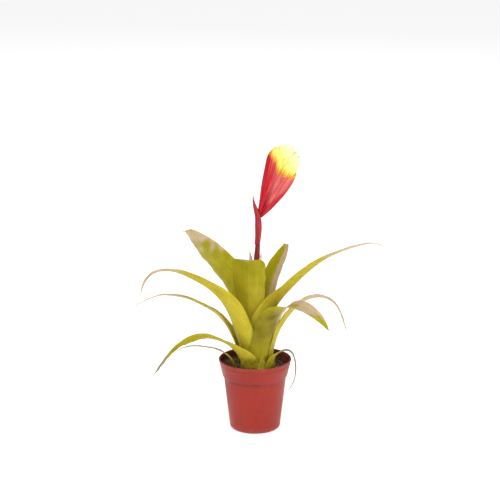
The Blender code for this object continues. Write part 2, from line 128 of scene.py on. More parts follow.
def unit(vectors: Array) -> Array:
    """Vectors scaled to a length of 1.

    Args:
        vectors: Vectors along the last axis.

    Returns:
        Unit vectors of the same shape.
    """
    return vectors / np.maximum(np.linalg.norm(vectors, axis=-1, keepdims=True), 1e-12)


def ripple(places: Array, wavelength: float, seed: int, waves: int = 9) -> Array:
    """A smooth random field: the mean of sine waves of about one wavelength, in random directions.

    Args:
        places: Points along the last axis.
        wavelength: Rough distance between crests, in the places' own unit.
        seed: Picks the field, the same on every run.
        waves: How many sine waves are added.

    Returns:
        Values of about -1 to 1.
    """
    draw = np.random.default_rng(seed)
    headings = unit(draw.normal(size=(waves, places.shape[-1])))
    lengths = wavelength * draw.uniform(0.7, 1.4, waves)
    phases = draw.uniform(0.0, math.tau, waves)
    turns = places @ (headings / lengths[:, None]).T * math.tau + phases
    return np.sin(turns).sum(-1) / math.sqrt(waves)


def circle(count: int) -> Array:
    """Angles of this many points spread evenly round a whole turn."""
    return np.linspace(0.0, math.tau, count, endpoint=False)


def closer_to_end(count: int, power: float) -> Array:
    """This many places from 0 to 1, closer together towards 1 by this power."""
    return 1 - (1 - np.linspace(0.0, 1.0, count)) ** power


def closer_to_margins(count: int) -> Array:
    """This many places from -1 to 1 in one row, closer together towards both ends."""
    return np.sin(np.linspace(-math.pi / 2, math.pi / 2, count))[None]


def thinning(across: Array, power: float) -> Array:
    """A section's share of its thickness: 1 in the middle, 0 at the margins, steeper by this power."""
    return np.sqrt(np.clip(1 - np.abs(across) ** power, 0, 1))


def turned(radius: Array, turn: Array, level: Array) -> Array:
    """Points of rings round the Z axis.

    Args:
        radius: Their distances from the axis.
        turn: Their angles round it.
        level: Their heights.

    Returns:
        Points along a new last axis.
    """
    return np.stack([radius * np.cos(turn), radius * np.sin(turn), level + 0.0 * turn], -1)


def arc_sheet(spine: Array, side: Array, upper: Array, radius: Array, angle: Array) -> Array:
    """A sheet that is bent round its spine: each row is an arc that touches the spine.

    Args:
        spine: Points of the spine, one a row.
        side: The direction across at each.
        upper: The direction out of the sheet, towards the arc's centre, at each.
        radius: The arc's radius.
        angle: How far round the arc each point lies.

    Returns:
        Points, (rows, columns, 3).
    """
    sideways, lift = radius * np.sin(angle), radius * (1 - np.cos(angle))
    return spine[:, None] + sideways[..., None] * side[:, None] + lift[..., None] * upper[:, None]


def smooth_curve(points: Array, shares: Array) -> Array:
    """Points at shares of the length of a natural cubic spline.

    The second derivatives at the knots solve the usual tridiagonal system. The knots are spaced by the
    0.7 power of the distance between points, which keeps short stretches from overshooting.

    Args:
        points: Points that the curve passes through.
        shares: Shares of its length, from 0 to 1.

    Returns:
        One point for each share.
    """
    points = np.asarray(points, float)
    knots = np.concatenate([[0.0], np.cumsum(np.linalg.norm(np.diff(points, axis=0), axis=1) ** 0.7)])
    step = np.diff(knots)
    slope = np.diff(points, axis=0) / step[:, None]
    inner = np.diag(2 * (step[:-1] + step[1:])) + np.diag(step[1:-1], 1) + np.diag(step[1:-1], -1)
    bend = np.zeros_like(points)
    bend[1:-1] = np.linalg.solve(inner, 6 * np.diff(slope, axis=0))

    def at(position: Array) -> Array:
        """The spline at these places on its own scale of knots."""
        k = np.clip(np.searchsorted(knots, position, side="right") - 1, 0, len(step) - 1)
        left, right = (knots[k + 1] - position)[:, None], (position - knots[k])[:, None]
        wide = step[k][:, None]
        curved = (bend[k] * left**3 + bend[k + 1] * right**3) / (6 * wide)
        return curved + (points[k] / wide - bend[k] * wide / 6) * left + (
            points[k + 1] / wide - bend[k + 1] * wide / 6
        ) * right

    fine = np.linspace(0.0, knots[-1], 600)
    run = np.concatenate([[0.0], np.cumsum(np.linalg.norm(np.diff(at(fine), axis=0), axis=1))])
    return at(np.interp(np.asarray(shares) * run[-1], run, fine))


def add_object(name: str, data: bpy.types.Mesh | bpy.types.Light | bpy.types.Camera) -> bpy.types.Object:
    """Puts a mesh, a light or a camera into the scene.

    Args:
        name: Name of the object.
        data: What it holds.

    Returns:
        The new object.
    """
    item = bpy.data.objects.new(name, data)
    bpy.context.scene.collection.objects.link(item)
    return item


def add_piece(
    name: str,
    points: Array,
    faces: list[list[int]],
    fields: dict[str, Array],
    finish: bpy.types.Material,
    replaced: tuple[str, ...] = (),
) -> bpy.types.Object:
    """Puts points and faces into a smooth-shaded mesh that rides on the part's one body.

    The mesh is turned inside out if its signed volume, the sum of its face fans' tetrahedra, is
    negative.

    Args:
        name: Name of the piece.
        points: Its points, one a row.
        faces: Its faces, as lists of point numbers.
        fields: Values at the points, each kept as an attribute. "u" and "v" also become the UV map.
        finish: Its material.
        replaced: CAD nodes that the piece stands for.

    Returns:
        The new object.
    """
    corners = np.array([[face[0], face[1], face[2]] for face in faces])
    a, b, c = points[corners[:, 0]], points[corners[:, 1]], points[corners[:, 2]]
    if (a * np.cross(b, c)).sum() < 0:
        faces = [face[::-1] for face in faces]
    mesh = bpy.data.meshes.new(name)
    mesh.from_pydata(points.tolist(), [], faces)
    for label, values in fields.items():
        store = mesh.attributes.new(label, "FLOAT", "POINT")
        store.data.foreach_set("value", values.astype(np.float32).ravel())
    if "u" in fields and "v" in fields:
        layer = mesh.uv_layers.new(name="surface")
        which = np.empty(len(mesh.loops), np.int32)
        mesh.loops.foreach_get("vertex_index", which)
        pairs = np.stack([fields["u"].ravel()[which], fields["v"].ravel()[which]], 1)
        layer.uv.foreach_set("vector", pairs.astype(np.float32).ravel())
    mesh.shade_smooth()
    mesh.materials.append(finish)
    piece = add_object(name, mesh)
    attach(piece, "root")
    if replaced:
        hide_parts(*replaced)
    LOG.info("%s: %d points", name, len(points))
    return piece


def ring_faces(rows: int, around: int, start: int = 0) -> list[list[int]]:
    """Faces of a closed tube of rings, with a fan at each end round a pole.

    Args:
        rows: Number of rings.
        around: Points in a ring.
        start: Number of the first point. The two poles come after the rings' points.

    Returns:
        Quads between the rings, and the triangles of the two fans.
    """
    grid = np.arange(rows * around).reshape(rows, around) + start
    beside = np.roll(grid, -1, axis=1)
    quads = np.stack([grid[:-1], beside[:-1], beside[1:], grid[1:]], -1).reshape(-1, 4)
    first, last = start + rows * around, start + rows * around + 1
    foot = np.stack([np.full(around, first), beside[0], grid[0]], -1)
    head = np.stack([np.full(around, last), grid[-1], beside[-1]], -1)
    return quads.tolist() + foot.tolist() + head.tolist()


def add_rings(
    name: str,
    rings: Array,
    fields: dict[str, Array],
    finish: bpy.types.Material,
    replaced: tuple[str, ...] = (),
) -> bpy.types.Object:
    """A closed piece from rings of points, with a pole at the middle of its first and of its last ring.

    Args:
        name: Name of the piece.
        rings: Points, (rings, points in a ring, 3).
        fields: Values on the same grid.
        finish: Its material.
        replaced: CAD nodes that the piece stands for.

    Returns:
        The new object.
    """
    rows, around = rings.shape[:2]
    points = np.concatenate([rings.reshape(-1, 3), [rings[0].mean(0)], [rings[-1].mean(0)]])
    values = {
        label: np.concatenate([grid.ravel(), [grid[0].mean()], [grid[-1].mean()]])
        for label, grid in fields.items()
    }
    return add_piece(name, points, ring_faces(rows, around), values, finish, replaced)


def thicken(sheet: Array, thickness: Array) -> Array:
    """A sheet given its thickness: half of it each way along the sheet's normals.

    The normal is the cross product of the sheet's directions along and across.

    Args:
        sheet: Points, (rows, columns, 3).
        thickness: Thickness at each point.

    Returns:
        Rings that go across the upper face and back across the lower one.
    """
    along = np.gradient(sheet, axis=0)
    across = np.gradient(sheet, axis=1)
    offset = unit(np.cross(along, across)) * thickness[..., None] / 2
    return np.concatenate([sheet + offset, (sheet - offset)[:, ::-1]], axis=1)


def both_faces(fields: dict[str, Array]) -> dict[str, Array]:
    """Fields on a sheet repeated for the rings that thicken makes, with 'under' marking the lower face.

    Args:
        fields: Values on the sheet's grid.

    Returns:
        Values on the rings' grid.
    """
    doubled = {label: np.concatenate([grid, grid[:, ::-1]], axis=1) for label, grid in fields.items()}
    shape = next(iter(fields.values())).shape
    doubled["under"] = np.concatenate([np.zeros(shape), np.ones(shape)], axis=1)
    return doubled


# ---- Laying out materials ----------------------------------------------------------------------------
Socket = bpy.types.NodeSocket
# The Mix node has sockets for each kind of value; these are the ones that it uses for colours.
MIX_SHARE = 0
MIX_COLOURS = (6, 7)
MIX_RESULT = 2


class Bench:
    """One material's nodes, laid out by short calls that each return the socket to read."""

    def __init__(self, name: str) -> None:
        """Starts a material with a Principled shader wired to its output.

        Args:
            name: Name of the material.
        """
        self.material = bpy.data.materials.new(name)
        self.material.use_nodes = True
        self.tree = self.material.node_tree
        self.shader = self.tree.nodes["Principled BSDF"]
        self.place = self.tree.nodes.new("ShaderNodeTexCoord").outputs["Object"]

    def feed(self, socket: Socket, value: Socket | float | Colour) -> None:
        """Links a socket to another one, or sets it.

        Args:
            socket: The input.
            value: A socket to read, a number, or a colour.
        """
        if isinstance(value, bpy.types.NodeSocket):
            self.tree.links.new(value, socket)
        elif isinstance(value, tuple) and len(socket.default_value) == 4:
            socket.default_value = (*value, 1.0)
        else:
            socket.default_value = value

    def set(self, **values: float | Colour | Socket) -> None:
        """Sets the Principled shader's inputs, with spaces written as underscores.

        Args:
            **values: Input names and what they get.
        """
        for label, value in values.items():
            self.feed(self.shader.inputs[label.replace("_", " ")], value)

    def field(self, name: str) -> Socket:
        """The value of one of the piece's attributes.

        Args:
            name: Name of the attribute.

        Returns:
            The value.
        """
        node = self.tree.nodes.new("ShaderNodeAttribute")
        node.attribute_name = name
        return node.outputs["Fac"]

    def maths(self, kind: str, a: Socket | float, b: Socket | float = 0.0, clamp: bool = False) -> Socket:
        """A Math node.

        Args:
            kind: Its operation, such as "MULTIPLY".
            a: First value.
            b: Second value.
            clamp: Whether the result is kept from 0 to 1.

        Returns:
            The result.
        """
        node = self.tree.nodes.new("ShaderNodeMath")
        node.operation = kind
        node.use_clamp = clamp
        self.feed(node.inputs[0], a)
        self.feed(node.inputs[1], b)
        return node.outputs[0]

    def stretched(self, scale: Colour, source: Socket | None = None) -> Socket:
        """Places stretched by a Mapping node, from Object coordinates unless a source is given.

        Args:
            scale: How much finer marks become along X, Y and Z.
            source: The places to stretch.

        Returns:
            The stretched places.
        """
        node = self.tree.nodes.new("ShaderNodeMapping")
        self.feed(node.inputs["Vector"], source or self.place)
        node.inputs["Scale"].default_value = scale
        return node.outputs[0]

    def surface(self, across: float, along: float) -> Socket:
        """The piece's own UV places, scaled across and along.

        Args:
            across: Scale across the piece.
            along: Scale along it.

        Returns:
            The scaled places.
        """
        node = self.tree.nodes.new("ShaderNodeUVMap")
        node.uv_map = "surface"
        return self.stretched((across, along, 1.0), node.outputs[0])

    def noise(
        self, scale: float, detail: float = 3.0, place: Socket | None = None, rough: float = 0.55
    ) -> Socket:
        """A noise texture's value, from 0 to 1.

        Args:
            scale: Its scale, in crests per metre on Object coordinates.
            detail: Octaves.
            place: Where it is read; Object coordinates if left out.
            rough: How strong the finer octaves are.

        Returns:
            The value.
        """
        node = self.tree.nodes.new("ShaderNodeTexNoise")
        self.feed(node.inputs["Vector"], place or self.place)
        node.inputs["Scale"].default_value = scale
        node.inputs["Detail"].default_value = detail
        node.inputs["Roughness"].default_value = rough
        return node.outputs["Fac"]

    def cells(self, scale: float, place: Socket | None = None) -> Socket:
        """Distance to the nearest of a Voronoi texture's random points.

        Args:
            scale: Its scale, in points per metre on Object coordinates.
            place: Where it is read; Object coordinates if left out.

        Returns:
            The distance, in the texture's own scale.
        """
        node = self.tree.nodes.new("ShaderNodeTexVoronoi")
        self.feed(node.inputs["Vector"], place or self.place)
        node.inputs["Scale"].default_value = scale
        return node.outputs["Distance"]

    def span(
        self, value: Socket, low: float, high: float, to_low: float = 0.0, to_high: float = 1.0
    ) -> Socket:
        """A value mapped smoothly from one range to another, and kept in it.

        Args:
            value: The value.
            low: Start of its range.
            high: End of its range.
            to_low: What low becomes.
            to_high: What high becomes.

        Returns:
            The mapped value.
        """
        node = self.tree.nodes.new("ShaderNodeMapRange")
        node.interpolation_type = "SMOOTHSTEP"
        self.feed(node.inputs["Value"], value)
        for label, number in (("From Min", low), ("From Max", high), ("To Min", to_low), ("To Max", to_high)):
            node.inputs[label].default_value = number
        return node.outputs["Result"]

    def mix(self, share: Socket | float, a: Socket | Colour, b: Socket | Colour, kind: str = "MIX") -> Socket:
        """Two colours mixed.

        Args:
            share: Share of the second.
            a: First colour.
            b: Second colour.
            kind: Blend type.

        Returns:
            The mixed colour.
        """
        node = self.tree.nodes.new("ShaderNodeMix")
        node.data_type = "RGBA"
        node.blend_type = kind
        self.feed(node.inputs[MIX_SHARE], share)
        self.feed(node.inputs[MIX_COLOURS[0]], a)
        self.feed(node.inputs[MIX_COLOURS[1]], b)
        return node.outputs[MIX_RESULT]

    def plus(self, a: Socket, b: Socket, share: float) -> Socket:
        """The first value plus a share of the second."""
        return self.maths("ADD", a, self.maths("MULTIPLY", b, share))

    def ragged(
        self, value: Socket, texture: Socket, low: float, high: float, down: float, up: float
    ) -> Socket:
        """A value that a texture shifts, which makes the edges of a mark ragged.

        Args:
            value: The value.
            texture: The texture.
            low: Value of the texture that shifts it the furthest down.
            high: Value of the texture that shifts it the furthest up.
            down: The shift at low.
            up: The shift at high.

        Returns:
            The shifted value, kept from 0 to 1.
        """
        return self.maths("ADD", value, self.span(texture, low, high, down, up), clamp=True)

    def shaded(self, colour: Socket, shade: Socket) -> Socket:
        """A colour whose three channels are all multiplied by the same shade.

        Args:
            colour: The colour.
            shade: What it is multiplied by.

        Returns:
            The shaded colour.
        """
        grey = self.tree.nodes.new("ShaderNodeCombineColor")
        for socket in grey.inputs[:3]:
            self.feed(socket, shade)
        return self.mix(1.0, colour, grey.outputs[0], "MULTIPLY")

    def relief(self, height: Socket, depth: float, strength: float = 1.0) -> None:
        """Gives the surface the relief of a height field.

        Args:
            height: Height from 0 to 1.
            depth: What 1 stands for, in metres.
            strength: Strength of the Bump node.
        """
        node = self.tree.nodes.new("ShaderNodeBump")
        node.inputs["Strength"].default_value = strength
        node.inputs["Distance"].default_value = depth
        self.feed(node.inputs["Height"], height)
        self.feed(self.shader.inputs["Normal"], node.outputs[0])


@dataclass(frozen=True)
class LeafFinish:
    """Leathery strap leaf: lengthwise veins, blotches, grey scales beneath, tan margins partly painted as
    sheen, brown scars, and painted shade.

    It reads these fields: gold (turned yellow-green), tan (pinkish tan, and painted sheen),
    dusk (dark olive, and painted shade), scar (brown), wither (dried out), under (1 on the lower
    face), u and v.
    """

    name: str = "strap_leaf"
    green: Colour = (0.350, 0.318, 0.003)
    gold: Colour = (0.56, 0.455, 0.030)
    tan: Colour = (0.60, 0.44, 0.315)
    dusk: Colour = (0.125, 0.092, 0.0)
    brown: Colour = (0.085, 0.045, 0.018)
    grey: Colour = (0.215, 0.225, 0.145)
    straw: Colour = (0.40, 0.34, 0.21)
    scale: Colour = (0.62, 0.58, 0.42)
    veins: float = 30.0
    gloss: float = 0.40

    def material(self) -> bpy.types.Material:
        """Lays out the nodes.

        Returns:
            The finish's material.
        """
        bench = Bench(self.name)
        lengthwise = bench.surface(self.veins, 1.6)
        fibre = bench.noise(2.2, 4.0, lengthwise, 0.6)
        vein = bench.noise(1.0, 1.0, bench.surface(self.veins * 1.5, 0.5))
        cloud = bench.noise(55.0, 3.0)
        mottle = bench.noise(330.0, 2.0)

        gold = bench.ragged(bench.field("gold"), cloud, 0.3, 0.7, -0.16, 0.16)
        colour = bench.mix(gold, self.green, self.gold)
        # Pinkish tan: dried and pale tissue, and painted sheen along the margins and on the arches.
        tan = bench.span(bench.ragged(bench.field("tan"), fibre, 0.25, 0.75, -0.14, 0.14), 0.12, 0.92)
        colour = bench.mix(tan, colour, self.tan)
        # Dark olive, and painted shade on one half of some leaves and at every leaf's foot.
        dusk = bench.ragged(bench.field("dusk"), mottle, 0.3, 0.7, -0.03, 0.03)
        colour = bench.mix(bench.span(dusk, 0.1, 1.0), colour, self.dusk)
        streak = bench.span(fibre, 0.3, 0.7, 0.88, 1.10)
        shade = bench.maths("MULTIPLY", streak, bench.span(vein, 0.35, 0.6, 0.97, 1.03))
        shade = bench.maths("MULTIPLY", shade, bench.span(mottle, 0.3, 0.7, 0.94, 1.05))
        colour = bench.shaded(colour, shade)

        scales = bench.span(bench.cells(1500.0), 0.16, 0.34, 1.0, 0.0)
        scales = bench.maths("MULTIPLY", scales, bench.maths("MULTIPLY", bench.field("under"), 0.12))
        colour = bench.mix(scales, colour, self.scale)
        fleck = bench.span(bench.cells(210.0), 0.05, 0.085, 1.0, 0.0)
        fleck = bench.maths("MULTIPLY", fleck, bench.span(cloud, 0.55, 0.62))
        scar = bench.ragged(bench.field("scar"), mottle, 0.35, 0.65, -0.25, 0.2)
        scar = bench.span(bench.maths("MAXIMUM", scar, bench.maths("MULTIPLY", fleck, 0.8)), 0.25, 0.75)
        colour = bench.mix(scar, colour, self.brown)
        wither = bench.ragged(bench.field("wither"), fibre, 0.3, 0.7, -0.2, 0.2)
        dried = bench.mix(bench.span(fibre, 0.3, 0.7), self.grey, self.straw)
        colour = bench.mix(bench.span(wither, 0.1, 0.9), colour, dried)

        rough = bench.span(fibre, 0.3, 0.7, self.gloss - 0.06, self.gloss + 0.08)
        rough = bench.plus(bench.plus(rough, bench.field("wither"), 0.35), tan, 0.12)
        bench.set(Base_Color=colour, Roughness=rough, Subsurface_Weight=0.22, Subsurface_Scale=0.0016)
        bench.set(Subsurface_Radius=(1.0, 0.9, 0.25), Specular_IOR_Level=0.1)
        height = bench.plus(bench.plus(bench.maths("MULTIPLY", vein, 0.55), fibre, 0.3), mottle, 0.15)
        bench.relief(height, 0.3 * MM, 0.45)
        return bench.material


@dataclass(frozen=True)
class FlowerFinish:
    """Waxy flower bract: crimson, pinkish red where it thins, yellow then pale where it ripens.

    It reads these fields: pink, ripe (turned yellow), pale (the ends), and u and v.
    """

    name: str = "flower_bract"
    crimson: Colour = (0.52, 0.0, 0.016)
    pink: Colour = (0.80, 0.15, 0.15)
    orange: Colour = (0.86, 0.36, 0.012)
    yellow: Colour = (0.95, 0.90, 0.17)
    pale: Colour = (0.95, 0.96, 0.55)
    veins: float = 26.0

    def material(self) -> bpy.types.Material:
        """Lays out the nodes.

        Returns:
            The finish's material.
        """
        bench = Bench(self.name)
        fibre = bench.noise(1.6, 3.0, bench.surface(self.veins, 1.2), 0.6)
        cloud = bench.noise(90.0, 2.0)
        pink = bench.ragged(bench.field("pink"), fibre, 0.25, 0.75, -0.2, 0.12)
        colour = bench.mix(pink, self.crimson, self.pink)
        ripe = bench.ragged(bench.field("ripe"), fibre, 0.25, 0.75, -0.12, 0.12)
        ripe = bench.ragged(ripe, cloud, 0.3, 0.7, -0.05, 0.05)
        colour = bench.mix(bench.span(ripe, 0.1, 0.5), colour, self.orange)
        colour = bench.mix(bench.span(ripe, 0.4, 0.95), colour, self.yellow)
        pale = bench.ragged(bench.field("pale"), fibre, 0.3, 0.7, -0.1, 0.1)
        colour = bench.mix(pale, colour, self.pale)
        colour = bench.shaded(colour, bench.span(fibre, 0.3, 0.7, 0.86, 1.10))
        bench.set(Base_Color=colour, Roughness=bench.span(fibre, 0.3, 0.7, 0.30, 0.44))
        bench.set(Subsurface_Weight=0.25, Subsurface_Scale=0.0018, Subsurface_Radius=(1.0, 0.45, 0.3))
        bench.set(Specular_IOR_Level=0.12)
        bench.relief(bench.plus(fibre, cloud, 0.3), 0.22 * MM, 0.5)
        return bench.material


@dataclass(frozen=True)
class StalkFinish:
    """Waxy red stalk, browner at its foot, with fine lengthwise streaks. Reads 'low', u and v."""

    name: str = "flower_stalk"
    red: Colour = (0.30, 0.005, 0.018)
    bright: Colour = (0.42, 0.030, 0.050)
    brown: Colour = (0.26, 0.030, 0.022)

    def material(self) -> bpy.types.Material:
        """Lays out the nodes.

        Returns:
            The finish's material.
        """
        bench = Bench(self.name)
        fibre = bench.noise(1.0, 3.0, bench.surface(22.0, 2.5), 0.6)
        speckle = bench.noise(700.0, 2.0)
        colour = bench.mix(bench.span(fibre, 0.38, 0.66), self.red, self.bright)
        low = bench.ragged(bench.field("low"), speckle, 0.3, 0.7, -0.12, 0.12)
        colour = bench.mix(low, colour, self.brown)
        bench.set(Base_Color=colour, Roughness=bench.span(speckle, 0.3, 0.7, 0.34, 0.46))
        bench.set(Subsurface_Weight=0.12, Subsurface_Scale=0.001, Specular_IOR_Level=0.3)
        bench.relief(bench.plus(fibre, speckle, 0.3), 0.25 * MM, 0.5)
        return bench.material


@dataclass(frozen=True)
class PotFinish:
    """Moulded terracotta-red plastic: flow lines, a fine orange-peel skin, scuffs, dust, a painted highlight
    along the rim, a painted shadow under the collar, and a darker inner wall.

    It reads these fields: grime (dust inside above the mix and at the foot, and a painted highlight along the
    rim) and ledge_shadow_and_dark_wall (a painted shadow line under the collar's ledge, and the inner wall
    darker below the rim).
    """

    name: str = "moulded_plastic"
    clay: Colour = (0.36, 0.026, 0.015)
    dull: Colour = (0.31, 0.024, 0.015)
    flow_line: Colour = (0.46, 0.07, 0.045)
    scuffed: Colour = (0.52, 0.16, 0.12)
    dust_and_highlight_tone: Colour = (0.30, 0.16, 0.11)
    shadow_and_dark_wall_tone: Colour = (0.045, 0.010, 0.008)

    def material(self) -> bpy.types.Material:
        """Lays out the nodes.

        Returns:
            The finish's material.
        """
        bench = Bench(self.name)
        cloud = bench.noise(26.0, 3.0)
        flow = bench.noise(1.0, 4.0, bench.stretched((260.0, 260.0, 14.0)), 0.6)
        peel = bench.noise(1500.0, 2.0)
        scuff = bench.noise(1.0, 5.0, bench.stretched((60.0, 60.0, 900.0)), 0.7)
        colour = bench.mix(bench.span(cloud, 0.3, 0.7), self.clay, self.dull)
        colour = bench.mix(bench.span(flow, 0.45, 0.75, 0.0, 0.10), colour, self.flow_line)
        scuffs = bench.span(scuff, 0.63, 0.72, 0.0, 0.28)
        colour = bench.mix(scuffs, colour, self.scuffed)
        # Dust, and a painted highlight along the rim, lighten the clay.
        grime = bench.maths("MULTIPLY", bench.field("grime"), bench.span(bench.noise(140.0, 5.0), 0.35, 0.62))
        colour = bench.mix(bench.maths("MULTIPLY", grime, 0.75), colour, self.dust_and_highlight_tone)
        # A painted shadow line under the collar's ledge, and a darker inner wall.
        colour = bench.mix(bench.field("ledge_shadow_and_dark_wall"), colour, self.shadow_and_dark_wall_tone)
        rough = bench.span(cloud, 0.3, 0.7, 0.36, 0.46)
        rough = bench.plus(bench.plus(rough, scuffs, 0.5), grime, 0.35)
        bench.set(Base_Color=colour, Roughness=rough, Specular_IOR_Level=0.25)
        bench.set(Subsurface_Weight=0.05, Subsurface_Scale=0.001)
        bench.relief(bench.plus(bench.maths("MULTIPLY", peel, 0.6), flow, 0.4), 0.12 * MM, 0.5)
        return bench.material


@dataclass(frozen=True)
class CrumbFinish:
    """Bark, peat and grit: each crumb has its own tone, and all are rough. Reads 'tone'."""

    name: str
    dark: Colour
    light: Colour
    grain: float = 900.0
    depth: float = 0.0004
    rough: float = 0.92

    def material(self) -> bpy.types.Material:
        """Lays out the nodes.

        Returns:
            The finish's material.
        """
        bench = Bench(self.name)
        grain = bench.noise(self.grain, 4.0, rough=0.65)
        patch = bench.noise(self.grain / 6, 3.0)
        tone = bench.ragged(bench.field("tone"), patch, 0.25, 0.75, -0.35, 0.35)
        colour = bench.mix(tone, self.dark, self.light)
        colour = bench.mix(bench.span(grain, 0.3, 0.7, 0.35, 0.0), colour, self.dark)
        bench.set(Base_Color=colour, Roughness=bench.span(grain, 0.3, 0.7, self.rough - 0.14, self.rough))
        bench.set(Specular_IOR_Level=0.3)
        bench.relief(grain, self.depth, 0.8)
        return bench.material


# ---- Pot ---------------------------------------------------------------------------------------------
@dataclass
class Pot:
    """Thin-walled nursery pot: rolled rim, tapered collar with a ledge under it, and a drained base."""

    rim_radius: float = POT_RIM
    height: float = 90 * MM
    wall: float = 1.2 * MM
    rim_band: float = 2 * MM
    collar_height: float = 22 * MM
    collar_draw_in: float = 5 * MM
    step: float = 1.4 * MM
    base_radius: float = 31.5 * MM
    edge_radius: float = 5.5 * MM
    drain_holes: int = 6
    drain_radius: float = 3.5 * MM
    drain_circle: float = 17 * MM
    around: int = 192
    bit_sides: int = 24
    dust_line: float = 80 * MM
    dark_wall_top: float = 88 * MM

    def outline(self) -> list[tuple[float, float]]:
        """(radius, height) points down the outside, with a bead at the rim and rounded corners.

        Returns:
            The points, from the rim to the underside.
        """
        foot = self.height - self.collar_height
        slope = self.collar_draw_in / (self.collar_height - self.rim_band)
        under = self.rim_radius - self.collar_draw_in - self.step
        bead = self.height - self.rim_band

        def collar(level: float) -> float:
            """Radius of the collar's taper at this height."""
            return self.rim_radius - 0.4 * MM - slope * (bead - level) * 0.93

        points = [(self.rim_radius - 0.35 * MM, self.height), (self.rim_radius, self.height - 0.45 * MM)]
        points += [(self.rim_radius, bead + 0.3 * MM), (collar(bead - 0.3 * MM), bead - 0.3 * MM)]
        # A faint moulded line runs round the collar below the bead.
        for level in (7.4, 7.0, 6.6, 6.2):
            swell = 0.16 * MM if 6.5 < level < 7.1 else 0.0
            points.append((collar(self.height - level * MM) + swell, self.height - level * MM))
        points += [(collar(foot + 0.9 * MM), foot + 0.9 * MM), (collar(foot) - 0.3 * MM, foot + 0.05 * MM)]
        points += [(under + 0.3 * MM, foot - 0.35 * MM), (under - 0.05 * MM, foot - 0.9 * MM)]
        lowest, top = self.edge_radius, foot - self.step
        for share in (0.08, 0.5, 0.94):
            level = top + (lowest - top) * share
            points.append((under + (self.base_radius - under) * share, level))
        for turn in np.linspace(0.0, math.pi / 2, 9):
            points.append((self.base_radius - self.edge_radius * (1 - math.cos(turn)),
                           self.edge_radius * (1 - math.sin(turn))))
        return sorted(points, key=lambda point: (-point[1], -point[0]))

    def profile(self) -> Array:
        """The wall's whole section, from the middle of the underside up the outside and down the inside.

        The inside is the outside moved in by the wall's thickness, at right angles to each stretch.

        Returns:
            (radius, height) points, one a row.
        """
        outside = np.array(self.outline())
        runs = unit(np.gradient(outside, axis=0))
        inward = np.stack([runs[:, 1], -runs[:, 0]], 1)
        inside = outside + inward * self.wall
        inside[0] = (self.rim_radius - self.wall + 0.1 * MM, self.height)
        inside[1] = (self.rim_radius - self.wall, self.height - 0.5 * MM)
        inside[:, 1] = np.maximum(inside[:, 1], self.wall)
        inside = inside[(inside[:, 1] > self.wall) | (np.arange(len(inside)) == len(inside) - 1)]
        return np.concatenate([[(0.4 * MM, 0.0)], outside[::-1], inside, [(0.4 * MM, self.wall)]])

    def build(self) -> bpy.types.Object:
        """Turns the profile round the axis, then cuts the drain holes.

        Returns:
            The pot, which stands for the CAD pot.
        """
        profile = self.profile()
        turn = circle(self.around)
        radius, level = profile[:, 0][:, None], profile[:, 1][:, None]
        out_of_round = 1 + 0.0012 * np.cos(2 * turn + 0.6)
        rings = turned(radius, turn, level)
        rings[..., :2] *= out_of_round[:, None]
        inner = (np.arange(len(profile)) > len(profile) // 2)[:, None]
        # Dust on the inner wall above the mix, and a painted highlight along the rim's top.
        mix_dust_and_rim_highlight = bell(self.dust_line, 8 * MM, level) * inner + 0.35 * bell(self.height, 2 * MM, level)
        near_floor = 0.5 * ease(10 * MM, 0.0, level) * ~inner
        # A painted shadow line under the collar's ledge.
        ledge = 0.3 * bell(self.height - self.collar_height - 0.5 * MM, 0.8 * MM, level) + 0.0 * turn
        # The inner wall darkens below the rim, most towards the back left.
        dark_inner_wall = (0.60 + 0.28 * np.cos(turn - 2.8)) * ease(self.height, self.dark_wall_top, level)
        fields = {"grime": mix_dust_and_rim_highlight + near_floor + 0.0 * turn, "ledge_shadow_and_dark_wall": np.where(inner, dark_inner_wall, ledge)}
        pot = add_rings("pot_shell", rings, fields, PotFinish().material(), ("pot",))
        self.drill(pot)
        return pot

    def drill(self, pot: bpy.types.Object) -> None:
        """Cuts the ring of drain holes through the base and keeps the result as the pot's own mesh.

        Args:
            pot: The undrilled pot.
        """
        turn = circle(self.bit_sides)
        for number in range(self.drain_holes):
            heading = math.tau * number / self.drain_holes
            centre = self.drain_circle * np.array([math.cos(heading), math.sin(heading)])
            ring = centre + self.drain_radius * np.stack([np.cos(turn), np.sin(turn)], 1)
            rings = np.stack([np.column_stack([ring, np.full(len(turn), z)]) for z in (-3 * MM, 4 * MM)])
            points = np.concatenate([rings.reshape(-1, 3), [rings[0].mean(0)], [rings[1].mean(0)]])
            mesh = bpy.data.meshes.new("drill")
            mesh.from_pydata(points.tolist(), [], [face[::-1] for face in ring_faces(2, len(turn))])
            bit = add_object("drill", mesh)
            cut = pot.modifiers.new("drain", "BOOLEAN")
            cut.operation = "DIFFERENCE"
            cut.solver = "EXACT"
            cut.object = bit
            graph = bpy.context.evaluated_depsgraph_get()
            drilled = bpy.data.meshes.new_from_object(pot.evaluated_get(graph))
            pot.modifiers.clear()
            pot.data = drilled
            bpy.data.objects.remove(bit)


